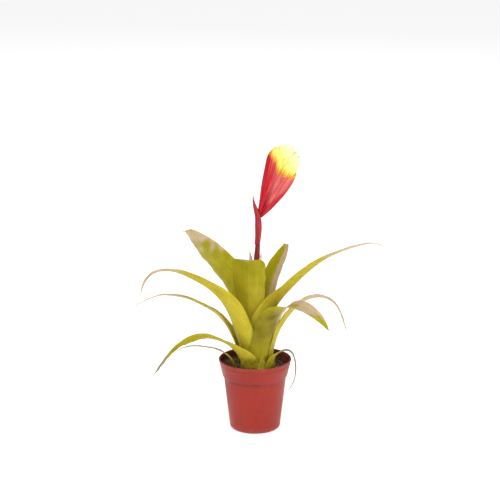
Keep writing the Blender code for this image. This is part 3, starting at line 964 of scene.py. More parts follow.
# ---- Potting mix -------------------------------------------------------------------------------------
@dataclass
class PottingMix:
    """Bark and peat mix with white grit: a lumpy surface, loose crumbs on it, and a few root fibres."""

    level: float = 82 * MM
    lip: float = 41.6 * MM
    foot: float = 36.6 * MM
    depth: float = 24 * MM
    keep_clear: float = 24 * MM
    crumbs: int = 620
    grit: int = 90
    fibres: int = 26
    front: float = math.radians(-46)
    front_spread: float = 0.34
    seed: int = 7

    def relief(self, x: Array, y: Array) -> Array:
        """Height of the mix: three sizes of lump, and a low mound round the plant.

        Args:
            x: Places along X.
            y: Places along Y.

        Returns:
            Heights above the pot's base.
        """
        flat = np.stack([x, y], -1)
        lumps = 0.55 * ripple(flat, 13 * MM, 1) + 0.4 * ripple(flat, 5 * MM, 2, 13)
        lumps = lumps + 0.25 * ripple(flat, 2 * MM, 3, 17)
        mound = 1.6 * ease(36 * MM, 20 * MM, np.hypot(x, y))
        return self.level + (lumps + mound - 0.6) * MM

    def build(self) -> list[bpy.types.Object]:
        """Makes the mix, the crumbs, the grit and the fibres.

        Returns:
            The four pieces.
        """
        peat = CrumbFinish("potting_mix", dark=(0.038, 0.017, 0.013), light=(0.185, 0.095, 0.068))
        bark = CrumbFinish("bark", dark=(0.036, 0.018, 0.012), light=(0.23, 0.125, 0.078))
        grit = CrumbFinish("grit", dark=(0.45, 0.42, 0.38), light=(0.90, 0.89, 0.86), grain=1600.0,
                           depth=0.0003, rough=0.85)
        root = CrumbFinish("root_fibre", dark=(0.07, 0.035, 0.02), light=(0.24, 0.15, 0.09))
        made = [self.build_body(peat.material())]
        made.append(self.build_grains("bark_crumbs", self.crumbs, (0.8, 2.4), 0.0, bark.material()))
        made.append(self.build_grains("white_grit", self.grit, (0.8, 2.1), 0.7, grit.material()))
        made.append(self.build_fibres(root.material()))
        return made

    def build_body(self, finish: bpy.types.Material) -> bpy.types.Object:
        """A lumpy disc with a skirt down inside the pot, closed underneath.

        Args:
            finish: Its material.

        Returns:
            The mix, which stands for the CAD potting mix.
        """
        turn = circle(220)
        radius = np.linspace(0.6 * MM, self.lip, 84)[:, None] + 0.0 * turn
        x, y = radius * np.cos(turn), radius * np.sin(turn)
        top = np.stack([x, y, self.relief(x, y)], -1)
        drop = np.linspace(0.02, 1.0, 8)[:, None]
        skirt_radius = self.lip + (self.foot - self.lip) * drop
        brim = top[-1, :, 2]
        skirt = turned(skirt_radius, turn, brim + (self.level - self.depth - brim) * drop)
        rings = np.concatenate([top, skirt])
        tone = 0.35 + 0.3 * ripple(rings, 4 * MM, 5)
        return add_rings("potting_mix_body", rings, {"tone": tone}, finish, ("potting_mix",))

    def build_grains(
        self,
        name: str,
        count: int,
        sizes: tuple[float, float],
        toward_front: float,
        finish: bpy.types.Material,
    ) -> bpy.types.Object:
        """Many small lumpy grains in one mesh, each a squashed ball with a random lump and turn.

        A grain's point is its centre plus its three radii times a direction, times one plus a wave of
        that direction.

        Args:
            name: Name of the piece.
            count: Number of grains.
            sizes: Least and greatest length, in mm.
            toward_front: How strongly the grains gather at the front right, from 0 to 1.
            finish: Their material.

        Returns:
            The grains.
        """
        draw = np.random.default_rng(self.seed + count)
        heading = draw.uniform(0.0, math.tau, count)
        pull = draw.random(count) < toward_front
        heading = np.where(pull, draw.normal(self.front, self.front_spread, count), heading)
        radius = np.sqrt(draw.uniform(self.keep_clear**2, (self.lip - 1.2 * MM) ** 2, count))
        x, y = radius * np.cos(heading), radius * np.sin(heading)
        length = draw.uniform(*sizes, count) * MM / 2
        centre = np.stack([x, y, self.relief(x, y) + 0.35 * length], -1)
        tilt = np.linspace(0.0, math.pi, 6)[1:-1][:, None]
        turn = circle(7)
        ball = turned(np.sin(tilt), turn, np.cos(tilt))
        ball = np.concatenate([ball.reshape(-1, 3), [[0, 0, 1.0]], [[0, 0, -1.0]]])
        wave = 1 + 0.25 * np.sin(ball @ draw.normal(size=(3, count)) * 2.2 + draw.uniform(0, 6, count)).T
        radii = length[:, None] * np.stack([np.ones(count), draw.uniform(0.5, 0.9, count),
                                            draw.uniform(0.35, 0.75, count)], -1)
        shaped = ball[None] * wave[..., None] * radii[:, None]
        spin, lean = draw.uniform(0, math.tau, count)[:, None], draw.normal(0, 0.5, count)[:, None]
        px = shaped[..., 0] * np.cos(lean) + shaped[..., 2] * np.sin(lean)
        pz = shaped[..., 2] * np.cos(lean) - shaped[..., 0] * np.sin(lean)
        spun = np.stack([px * np.cos(spin) - shaped[..., 1] * np.sin(spin),
                         px * np.sin(spin) + shaped[..., 1] * np.cos(spin), pz], -1)
        points = (centre[:, None] + spun).reshape(-1, 3)
        one = ring_faces(len(tilt), len(turn))
        faces = [[corner + grain * len(ball) for corner in face] for grain in range(count) for face in one]
        tone = np.repeat(draw.random(count), len(ball))
        return add_piece(name, points, faces, {"tone": tone}, finish)

    def build_fibres(self, finish: bpy.types.Material) -> bpy.types.Object:
        """Thin root fibres that lie in shallow arches on the mix.

        Args:
            finish: Their material.

        Returns:
            The fibres.
        """
        draw = np.random.default_rng(self.seed)
        share = np.linspace(0.0, 1.0, 12)
        arch = np.sin(math.pi * share)
        turn = circle(5)
        one = len(share) * len(turn) + 2
        points, faces = [], []
        for number in range(self.fibres):
            heading, radius = draw.uniform(0, math.tau), draw.uniform(self.keep_clear, self.lip - 6 * MM)
            course, length = draw.uniform(0, math.tau), draw.uniform(5, 11) * MM
            bow = draw.uniform(-0.35, 0.35) * length
            x = radius * math.cos(heading) + length * (share - 0.5) * math.cos(course)
            y = radius * math.sin(heading) + length * (share - 0.5) * math.sin(course)
            x, y = x - bow * arch * math.sin(course), y + bow * arch * math.cos(course)
            shrink = np.minimum(1.0, (self.lip - 1 * MM) / np.hypot(x, y))
            x, y = x * shrink, y * shrink
            path = np.stack([x, y, self.relief(x, y) + (0.2 + 0.9 * arch) * MM], -1)
            run = unit(np.gradient(path, axis=0))
            side = unit(np.cross(run, [0.0, 0.0, 1.0]))
            rise = np.cross(side, run)
            thick = draw.uniform(0.10, 0.22) * MM * (0.35 + 0.65 * arch)
            rings = path[:, None] + thick[:, None, None] * (
                np.cos(turn)[None, :, None] * side[:, None] + np.sin(turn)[None, :, None] * rise[:, None]
            )
            points.append(np.concatenate([rings.reshape(-1, 3), [path[0]], [path[-1]]]))
            faces += ring_faces(len(share), len(turn), number * one)
        tone = np.repeat(draw.random(self.fibres), one)
        return add_piece("root_fibres", np.concatenate(points), faces, {"tone": tone}, finish)


# ---- Leaves ------------------------------------------------------------------------------------------
def sheath_radius(layer: int) -> float:
    """Radius of the middle of the sheath in this layer, counted from the stem."""
    return STEM_RADIUS + LEAF_GAP + LEAF_THICKNESS / 2 + layer * (LEAF_THICKNESS + LEAF_GAP)


def over_rim(beyond: float) -> float:
    """The out distance, in mm, at which the leaf in HANGING_LAYER is this far outside the pot's rim."""
    return (POT_RIM - sheath_radius(HANGING_LAYER)) / MM + beyond


@dataclass(frozen=True)
class Nick:
    """A tear in a leaf's margin: its place along, its side, how deep it is, and its length."""

    along: float
    side: Side
    depth: float = 0.18
    length: float = 0.008


SheenMargin = tuple[float, float, float, float]


@dataclass(frozen=True)
class LeafTone:
    """Where a leaf's colours lie. Places are shares of its length, strengths are from 0 to 1.

    gold fades from the foot to the end, tan sets in past tan_from (dried tissue, and painted
    sheen on arching leaves) and gives way to the green point at tan_to, and dusk darkens the
    leaf up to dusk_to. A margin has a strip of painted sheen of its own: its strength, the two
    places that it lies between, and where across the half it begins. painted_half_shade paints shade on the
    left half, or on the right half if it is negative. The leaf is dried out past wither_from.
    """

    gold_foot: float = 0.55
    gold_end: float = 0.25
    tan_from: float = 0.8
    tan: float = 0.6
    tan_to: float = 1.5
    left: SheenMargin = (0.3, 0.1, 1.0, 0.6)
    right: SheenMargin = (0.3, 0.1, 1.0, 0.6)
    dusk: float = 0.0
    dusk_to: float = 0.5
    painted_half_shade: float = 0.0
    wither: float = 0.0
    wither_from: float = 0.25
    wither_tip: float = 0.975


@dataclass(frozen=True)
class Leaf:
    """One strap leaf. Lengths are in mm and angles in degrees.

    spine holds (out, up, turn) points: out is the distance from the foot of the sheath, away from the
    stem, up is the height above the potting mix, and turn is added to the azimuth. wrap is how far round
    the stem the sheath reaches, blade is the blade's width, flare is the share of the length over which
    one becomes the other, and the blade tapers from taper_from with the power taper. The section is an
    arc: channel and tip_channel are its half-angles, and open_by is where the sheath has opened out to
    it. rolls are (share of length, angle) pairs that turn the blade about its spine.
    """

    name: str
    azimuth: float
    wrap: float
    blade: float
    spine: Knots
    flare: float = 0.35
    taper_from: float = 0.4
    taper: float = 1.0
    channel: float = 28
    tip_channel: float = 20
    open_by: float = 0.5
    rolls: Knots = ((0, 0), (1, 0))
    tone: LeafTone = LeafTone()
    wave: float = 0.5
    nicks: tuple[Nick, ...] = ()
    groove: float = 0.35

    def spine_at(self, layer: int, along: Array) -> tuple[Array, Array]:
        """The spine, and the azimuth that the leaf faces, at these shares of its length.

        Args:
            layer: The leaf's layer round the stem.
            along: Shares of its length.

        Returns:
            Points, and azimuths in radians.
        """
        knots = np.array([point if len(point) == 3 else (*point, 0) for point in self.spine], float)
        reach = sheath_radius(layer) + knots[:, 0] * MM
        azimuth = np.radians(self.azimuth + knots[:, 2])
        world = np.stack([reach * np.cos(azimuth), reach * np.sin(azimuth), SOIL_LEVEL + knots[:, 1] * MM], 1)
        run = np.concatenate([[0.0], np.cumsum(np.linalg.norm(np.diff(world, axis=0), axis=1))])
        return smooth_curve(world, along), np.interp(along, run / run[-1], azimuth)

    def half_width(self, layer: int, along: Array) -> Array:
        """Half the blade's width: the sheath's eases into the blade's, then the blade tapers.

        Args:
            layer: The leaf's layer round the stem.
            along: Shares of its length.

        Returns:
            Half-widths.
        """
        sheath = math.radians(self.wrap / 2) * sheath_radius(layer)
        half = sheath + (self.blade * MM / 2 - sheath) * ease(0.0, self.flare, along)
        half *= 1 - np.clip((along - self.taper_from) / (1 - self.taper_from), 0, 1) ** self.taper
        return half + 0.35 * MM * (1 - ease(0.96, 1.0, along))

    def sheet(self, layer: int, along: Array, across: Array) -> Array:
        """The leaf's middle surface.

        Across the spine it is an arc of the blade's width. At the foot the arc has the sheath's own
        radius, so that the sheath is part of a cylinder round the stem. A groove runs down the middle,
        the margins wave a little, and the outline wanders and has its nicks.

        Args:
            layer: The leaf's layer round the stem.
            along: Shares of its length, one a row.
            across: Places from -1 to 1, one a column.

        Returns:
            Points, (rows, columns, 3).
        """
        spine, facing = self.spine_at(layer, along)
        seed = LEAF_SHAPE_SEED + layer
        tangent = unit(np.gradient(spine, along, axis=0))
        side = np.stack([-np.sin(facing), np.cos(facing), np.zeros(len(along))], 1)
        side = unit(side - (side * tangent).sum(1)[:, None] * tangent)
        upper = np.cross(tangent, side)
        roll = np.radians(np.interp(along, *np.array(self.rolls, float).T))[:, None]
        side, upper = np.cos(roll) * side + np.sin(roll) * upper, np.cos(roll) * upper - np.sin(roll) * side

        half = self.half_width(layer, along)
        foot = math.radians(self.wrap / 2)
        channel, tip_channel = math.radians(self.channel), math.radians(self.tip_channel)
        curl = channel + (foot - channel) * (1 - ease(0.0, self.open_by, along))
        curl += (tip_channel - channel) * ease(0.6, 1.0, along)
        curl = np.where(np.abs(curl) < 0.02, 0.02, curl)[:, None]

        margin = np.stack([along * 9.0, np.zeros_like(along)], -1)
        left_edge, right_edge = ripple(margin, 1.0, seed)[:, None], ripple(margin, 1.0, seed + 50)[:, None]
        edge = np.where(across < 0, left_edge, right_edge)
        width = half[:, None] * (1 + 0.022 * edge * ease(0.1, 0.4, along)[:, None] * np.abs(across) ** 2)
        for nick in self.nicks:
            on_side = np.clip(across * nick.side.value, 0, 1) ** 3
            width = width * (1 - nick.depth * bell(nick.along, nick.length, along)[:, None] * on_side)
        angle = curl * across
        sheet = arc_sheet(spine, side, upper, width / curl, angle)

        normal = np.cos(angle)[..., None] * upper[:, None] - np.sin(angle)[..., None] * side[:, None]
        free = (ease(0.12, 0.4, along) * (1 - ease(0.94, 1.0, along)))[:, None]
        wave = np.sin(math.tau * (2.6 * along[:, None] + 0.13 * seed) + 1.1 * np.sign(across))
        fine = ripple(np.stack(np.broadcast_arrays(along[:, None] * 16, across), -1), 1.0, seed + 9)
        bulge = self.wave * MM * free * (wave + 0.45 * fine) * np.abs(across) ** 3
        fold = -self.groove * MM * bell(0.0, 0.10, across) * (0.35 + 0.65 * ease(0.05, 0.5, along))[:, None]
        crumple = 0.15 * self.tone.wither * MM * ripple(sheet, 7 * MM, seed + 3) * free
        return sheet + (bulge + fold * (1 - ease(0.9, 1, along))[:, None] + crumple)[..., None] * normal

    def marks(self, layer: int, along: Array, across: Array, sheet: Array) -> dict[str, Array]:
        """The leaf's colour fields, from its tone.

        Args:
            layer: The leaf's layer round the stem.
            along: Shares of its length, one a row.
            across: Places from -1 to 1, one a column.
            sheet: The middle surface.

        Returns:
            Fields on the sheet's grid.
        """
        tone, seed = self.tone, LEAF_MARK_SEED + layer
        u, v = np.broadcast_arrays(along[:, None], across)
        drift = ripple(sheet, 16 * MM, seed)
        patch = ripple(sheet, 5 * MM, seed + 1)
        gold = tone.gold_foot + (tone.gold_end - tone.gold_foot) * ease(0.15, 0.85, u) + 0.12 * drift
        gold = gold + 0.25 * bell(0.0, 0.12, v) * (1 - u)
        # Tan towards the end: dried tissue, and on the arches partly painted sheen.
        tan = tone.tan * ease(tone.tan_from - 0.16, tone.tan_from + 0.1, u + 0.05 * drift)
        tan = tan * (1 - ease(tone.tan_to - 0.05, tone.tan_to + 0.04, u + 0.02 * patch))
        sheen_strip = 0.0 * u
        # Each margin's strip is painted sheen: light grazing or shining through the leaf's edge.
        for sign, (strength, start, stop, inner) in ((-1, tone.left), (1, tone.right)):
            inside = ease(start - 0.08, start + 0.08, u) * (1 - ease(stop - 0.05, stop + 0.08, u))
            rim = strength * inside * ease(inner, 0.5 * inner + 0.55, v * sign + 0.04 * patch)
            tan, sheen_strip = np.maximum(tan, rim), np.maximum(sheen_strip, rim)
        dusk = tone.dusk * (1 - ease(tone.dusk_to - 0.15, tone.dusk_to + 0.15, u)) * (0.9 + 0.12 * drift)
        dusk = dusk * (0.4 + 0.6 * ease(0.05, 0.3, u)) * (1 - 0.9 * sheen_strip)
        # Painted shade over one half of the leaf, the half turned from the light.
        halfway = v * math.copysign(1.0, tone.painted_half_shade) + 0.06 * drift
        dusk = np.maximum(dusk, abs(tone.painted_half_shade) * ease(0.12, -0.18, halfway) * ease(0.35, 0.6, u))
        # Painted shade at the foot of every leaf, down among the crowded sheaths.
        dusk = np.maximum(dusk, (0.7 + 0.15 * patch) * (1 - ease(0.0, 0.13, u + 0.015 * drift)))
        scar = 0.75 * ease(0.975, 1.0, u + 0.01 * patch) * (tone.wither_tip < 1)
        for nick in self.nicks:
            near = bell(nick.along, nick.length * 1.5, u) * ease(0.35, 0.95, v * nick.side.value)
            scar = np.maximum(scar, 1.1 * near)
        wither = tone.wither * ease(tone.wither_from - 0.08, tone.wither_from + 0.08, u)
        wither = np.maximum(wither, ease(tone.wither_tip - 0.03, tone.wither_tip + 0.03, u))
        return {"gold": gold, "tan": tan, "dusk": dusk, "scar": scar, "wither": wither + 0.0 * u,
                "u": v * 0.5 + 0.5, "v": u + 0.0 * v}

    def build(self, layer: int, finish: bpy.types.Material, slot: Slot) -> bpy.types.Object:
        """Makes the leaf and lets it stand for its CAD node.

        Rows are closer together towards the point, and columns towards the margins, where the leaf
        thins out: its thickness goes with the square root of the distance from the margin.

        Args:
            layer: The leaf's layer round the stem.
            finish: Its material.
            slot: The record's slot; not used.

        Returns:
            The leaf.
        """
        along = closer_to_end(150, 1.25)
        across = closer_to_margins(33)
        sheet = self.sheet(layer, along, across)
        sheet[0, :, 2] -= FOOT_DROP
        body = 0.16 + 0.62 * thinning(across, 2.4) + 0.25 * bell(0.0, 0.12, across)
        taper = (1 - 0.6 * ease(0.5, 1.0, along))[:, None]
        rings = thicken(sheet, body * taper * LEAF_THICKNESS / 0.9)
        fields = both_faces(self.marks(layer, along, across, sheet))
        return add_rings(self.name + "_blade", rings, fields, finish, (self.name,))


PALE = LeafTone(
    gold_foot=0.7, gold_end=0.8, tan_from=0.25, tan=1.2, left=(0.5, 0.0, 1.0, 0.5),
    right=(0.5, 0.0, 1.0, 0.5), wither_tip=1.5,
)
BACK = LeafTone(
    gold_foot=0.45, gold_end=0.3, tan_from=0.72, tan_to=0.95, left=(0.35, 0.3, 1.0, 0.6),
    right=(0.35, 0.3, 1.0, 0.6), dusk=0.15, dusk_to=0.4,
)
DRY = LeafTone(
    gold_foot=0.3, gold_end=0.2, tan_from=0.5, tan=0.3, tan_to=1.4, dusk=0.3, dusk_to=0.3, wither=0.85,
    wither_from=0.24,
)


@dataclass
class Rosette:
    """All the leaves, innermost first: a leaf's place in the list is its layer round the stem."""

    leaves: tuple[Leaf, ...] = (
        Leaf(
            "inner_bract_left", azimuth=172, wrap=152, blade=16,
            spine=((0, 1), (0.3, 40), (0.5, 90), (0, 125), (-0.2, 148)),
            flare=0.8, taper_from=0.8, taper=1.8, channel=62, tip_channel=60, open_by=1.0, wave=0.2,
            groove=0.1,
            tone=PALE,
        ),
        Leaf(
            "inner_bract_right", azimuth=-14, wrap=137, blade=17,
            spine=((0, 1), (0.3, 40), (0.5, 90), (0, 124), (-0.2, 147)),
            flare=0.8, taper_from=0.8, taper=1.8, channel=62, tip_channel=60, open_by=1.0, wave=0.2,
            groove=0.1,
            tone=PALE,
        ),
        Leaf(
            "leaf_front_upright", azimuth=-102, wrap=80, blade=42,
            spine=((0, 0, -22), (0.6, 30, -22), (4.5, 68, -21), (11, 99, -12), (18, 125, -6),
                (27, 142, -1), (36, 148, 1), (44, 148, 2)),
            flare=0.7, taper_from=0.84, taper=3, channel=14, tip_channel=4, open_by=0.68, wave=0.12,
            groove=0.6,
            tone=LeafTone(
                gold_foot=1.5, gold_end=0.15, tan_from=0.99, tan=0.2, left=(0.15, 0.5, 0.95, 0.8),
                right=(0.2, 0.15, 0.93, 0.7), painted_half_shade=0.3,
            ),
        ),
        Leaf(
            "leaf_back_upright", azimuth=98, wrap=72, blade=12,
            spine=((0, 0), (0.6, 30), (3, 62), (9, 84), (21, 98), (36, 103), (50, 101), (60, 94)),
            taper_from=0.5, taper=1.6, open_by=0.6,
            tone=BACK,
        ),
        Leaf(
            "leaf_right_upright", azimuth=47, wrap=86, blade=29,
            spine=((0, 0), (0.6, 30), (3.6, 64), (11, 91), (22, 112), (34, 128), (44, 137, 2),
                (51, 141, 5), (55, 139, 8)),
            flare=0.6, taper_from=0.55, taper=2.4, channel=22, open_by=0.6, wave=0.3,
            tone=LeafTone(
                gold_foot=0.4, gold_end=0.05, tan_from=0.95, tan=0.5, left=(0.68, 0.3, 1.0, -0.3),
                right=(0.0, 0.3, 0.9, 0.6), dusk=0.1, dusk_to=0.3,
            ),
        ),
        Leaf(
            "leaf_left_broad", azimuth=138, wrap=105, blade=44,
            spine=((0, 0), (1, 28), (5, 63), (17, 91), (36, 112), (60, 129), (84, 143), (101, 150),
                (110, 147)),
            flare=0.6, taper_from=0.62, taper=2.4, channel=18, open_by=0.62,
            tone=LeafTone(
                gold_foot=0.95, gold_end=-0.1, tan_from=0.84, tan=0.95, tan_to=0.955,
                left=(0.2, 0.4, 1.0, 0.7), right=(0.5, 0.35, 1.0, 0.75),
            ),
        ),
        Leaf(
            "leaf_right_long", azimuth=-6, wrap=185, blade=38,
            spine=((0, 0, -54), (1, 23, -52), (6, 53, -45), (14, 77, -33), (28.5, 99, -13),
                (47.5, 119, -3), (76, 141), (112, 156.5), (134, 160), (150, 152)),
            flare=0.5, taper_from=0.35, taper=1.45, channel=40, tip_channel=15,
            rolls=((0, 0), (0.3, 0), (0.5, -16), (1, -12)),
            tone=LeafTone(
                gold_foot=1.0, gold_end=0.6, tan_from=0.72, tan=0.95, left=(0.1, 0.3, 1.0, 0.8),
                right=(0.85, 0.45, 1.0, 0.25),
            ),
        ),
        Leaf(
            "leaf_back_middle", azimuth=95, wrap=66, blade=26,
            spine=((0, 0), (1.6, 23), (6, 48), (17, 68), (34, 82), (56, 88), (80, 84), (98, 72)),
            flare=0.6, taper_from=0.45, taper=1.4, channel=25, open_by=0.6,
            tone=BACK,
        ),
        Leaf(
            "leaf_left_long", azimuth=207, wrap=137, blade=37,
            spine=((0, 0, 33), (2, 18, 31), (10.5, 42, 21), (20, 70, 15), (38, 99, 5), (72, 124),
                (102, 137), (125, 134), (135, 122), (139, 106)),
            flare=0.6, taper_from=0.3, taper=1.25, channel=46, tip_channel=15, open_by=0.6,
            rolls=((0, 0), (0.25, 0), (0.45, 14), (1, 12)),
            tone=LeafTone(
                gold_foot=0.9, gold_end=0.45, tan_from=0.74, tan=0.8, left=(0.9, 0.06, 1.0, 0.42),
                right=(0.1, 0.5, 1.0, 0.8),
            ),
        ),
        Leaf(
            "leaf_back_arching", azimuth=80, wrap=77, blade=26,
            spine=((0, 0), (1.6, 20), (8, 44), (20, 60), (40, 70), (64, 72), (86, 62), (102, 46)),
            taper=1.2, open_by=0.6,
            tone=BACK,
        ),
        Leaf(
            "leaf_front_right", azimuth=-52, wrap=134, blade=40,
            spine=((0, 0), (3, 22), (8.6, 47), (16.4, 67), (30, 83), (54, 92), (77, 94), (96, 92),
                (111, 87), (124, 79)),
            taper_from=0.5, taper=1.5, open_by=0.45,
            tone=LeafTone(
                gold_foot=0.5, gold_end=0.1, tan_from=0.62, tan=0.68, tan_to=0.84,
                left=(0.15, 0.3, 0.8, 0.6), right=(0.95, 0.06, 0.9, 0.35), dusk=0.75,
            ),
            nicks=(
                Nick(along=0.16, side=Side.RIGHT, depth=0.10),
                Nick(along=0.21, side=Side.RIGHT, depth=0.16),
                Nick(along=0.245, side=Side.RIGHT, depth=0.10),
            ),
        ),
        Leaf(
            "leaf_left_middle", azimuth=180, wrap=73, blade=24,
            spine=((0, 0, -20), (2.6, 20, -18), (13, 45, -8), (27, 64, -4), (45, 77), (62, 85),
                (78, 88.5), (96, 89.5), (110, 85), (124, 78), (130, 72)),
            channel=30,
            rolls=((0, 0), (0.2, 0), (0.4, 14), (1, 10)),
            tone=LeafTone(
                gold_foot=0.75, gold_end=0.1, tan_from=0.70, tan=0.9, left=(0.6, 0.1, 1.0, 0.7),
                right=(0.1, 0.4, 1.0, 0.8),
            ),
        ),
        Leaf(
            "leaf_right_middle", azimuth=-5, wrap=74, blade=28,
            spine=((0, 0), (1, 16), (5, 34), (11, 49), (21, 65), (32, 78), (46, 87), (62, 89), (75, 83),
                (84, 70), (90, 52), (93, 42)),
            taper_from=0.35, taper=1.25, channel=40, open_by=0.6,
            rolls=((0, 0), (0.2, 0), (0.4, -16), (1, -8)),
            tone=LeafTone(
                gold_foot=1.0, gold_end=0.4, tan_from=0.5, tan=0.8, tan_to=0.9, left=(0.1, 0.2, 1.0, 0.8),
                right=(0.1, 0.3, 1.0, 0.8), painted_half_shade=-0.35,
            ),
        ),
        Leaf(
            "leaf_back_low", azimuth=99, wrap=60, blade=22,
            spine=((0, 0), (2, 18), (9, 34), (22, 45), (40, 48), (60, 42), (74, 30), (84, 14)),
            taper_from=0.35, taper=1.1, channel=30,
            tone=BACK,
        ),
        Leaf(
            "leaf_back_drooping", azimuth=62, wrap=53, blade=18,
            spine=((0, 0), (1, 11), (7, 23), (19, 29, 4), (36, 27, 8), (52, 17, 10), (64, 3, 12)),
            taper_from=0.3, channel=30, open_by=0.4,
            tone=BACK,
        ),
        Leaf(
            "leaf_left_twisted", azimuth=254, wrap=55, blade=20,
            spine=((0, 1.5), (0.4, 7, -1), (3, 15, -8), (9, 26, -28), (18, 35, -42), (30, 40, -50),
                (43, 42, -55), (59, 39, -57), (74, 31, -58), (88, 18, -58), (105, -4, -59)),
            taper_from=0.3, taper=0.9, channel=30, open_by=0.35, wave=0.7,
            rolls=((0, 0), (0.4, 0), (0.6, -20), (1, -20)),
            tone=LeafTone(
                gold_foot=0.85, gold_end=0.05, tan_from=0.95, tan=0.4, left=(0.3, 0.2, 1.0, 0.7),
                right=(0.15, 0.3, 1.0, 0.7), wither_tip=0.82,
            ),
        ),
        Leaf(
            "leaf_stub", azimuth=-72, wrap=24, blade=9,
            spine=((0, 0), (0.6, 8), (1.6, 14), (2.6, 19)),
            taper_from=0.3, taper=1.5, channel=20,
            tone=LeafTone(
                gold_foot=0.5, gold_end=0.2, tan_from=0.9, tan=0.1, dusk=0.3, wither_tip=1.5,
            ),
        ),
        Leaf(
            "leaf_right_dry", azimuth=-45, wrap=37, blade=8,
            spine=((0, 1), (0.3, 6), (2, 14, 6), (8, 21, 22), (over_rim(-1), 20, 32), (over_rim(4), 12,
                35), (over_rim(6), -2, 36), (over_rim(5), -16, 36), (over_rim(0), -28, 36), (over_rim(-6),
                -36, 36)),
            flare=0.25, taper_from=0.15, taper=0.8, channel=30, open_by=0.3, wave=0.2,
            tone=DRY,
        ),
        Leaf(
            "leaf_left_dry", azimuth=205, wrap=24, blade=7,
            spine=((0, 0), (3, 8), (10, 18), (24, 27), (47, 34), (67, 35), (82, 30)),
            taper_from=0.2, channel=25, open_by=0.3, wave=0.3,
            tone=DRY,
        ),
    )

    def build(self) -> list[bpy.types.Object]:
        """Makes every leaf. Its own marks colour it, and the pale and the dry ones have their own finish.

        Returns:
            The leaves.
        """
        finish = LeafFinish().material()
        dry = LeafFinish("dried_leaf", gloss=0.6).material()
        pale = LeafFinish("inner_sheath", tan=(0.80, 0.64, 0.46)).material()
        kinds = {id(PALE): (pale, Slot.PALE_BRACT), id(DRY): (dry, Slot.DRY_LEAF)}
        made = []
        for layer, leaf in enumerate(self.leaves):
            made.append(leaf.build(layer, *kinds.get(id(leaf.tone), (finish, Slot.LEAF))))
        return made


# ---- Flower ------------------------------------------------------------------------------------------
@dataclass(frozen=True)
class Bract:
    """One boat-shaped flower bract. Lengths are in mm.

    keel holds (along, across) points, along being counted from the bract's own foot. wing is the
    greatest width of each of its two sides, from the keel in. pink is how far it has faded, and ripe_from
    is how far up the spike it has turned yellow.
    """

    name: str
    side: Side
    keel: Knots
    wing: float
    pink: float
    ripe_from: float


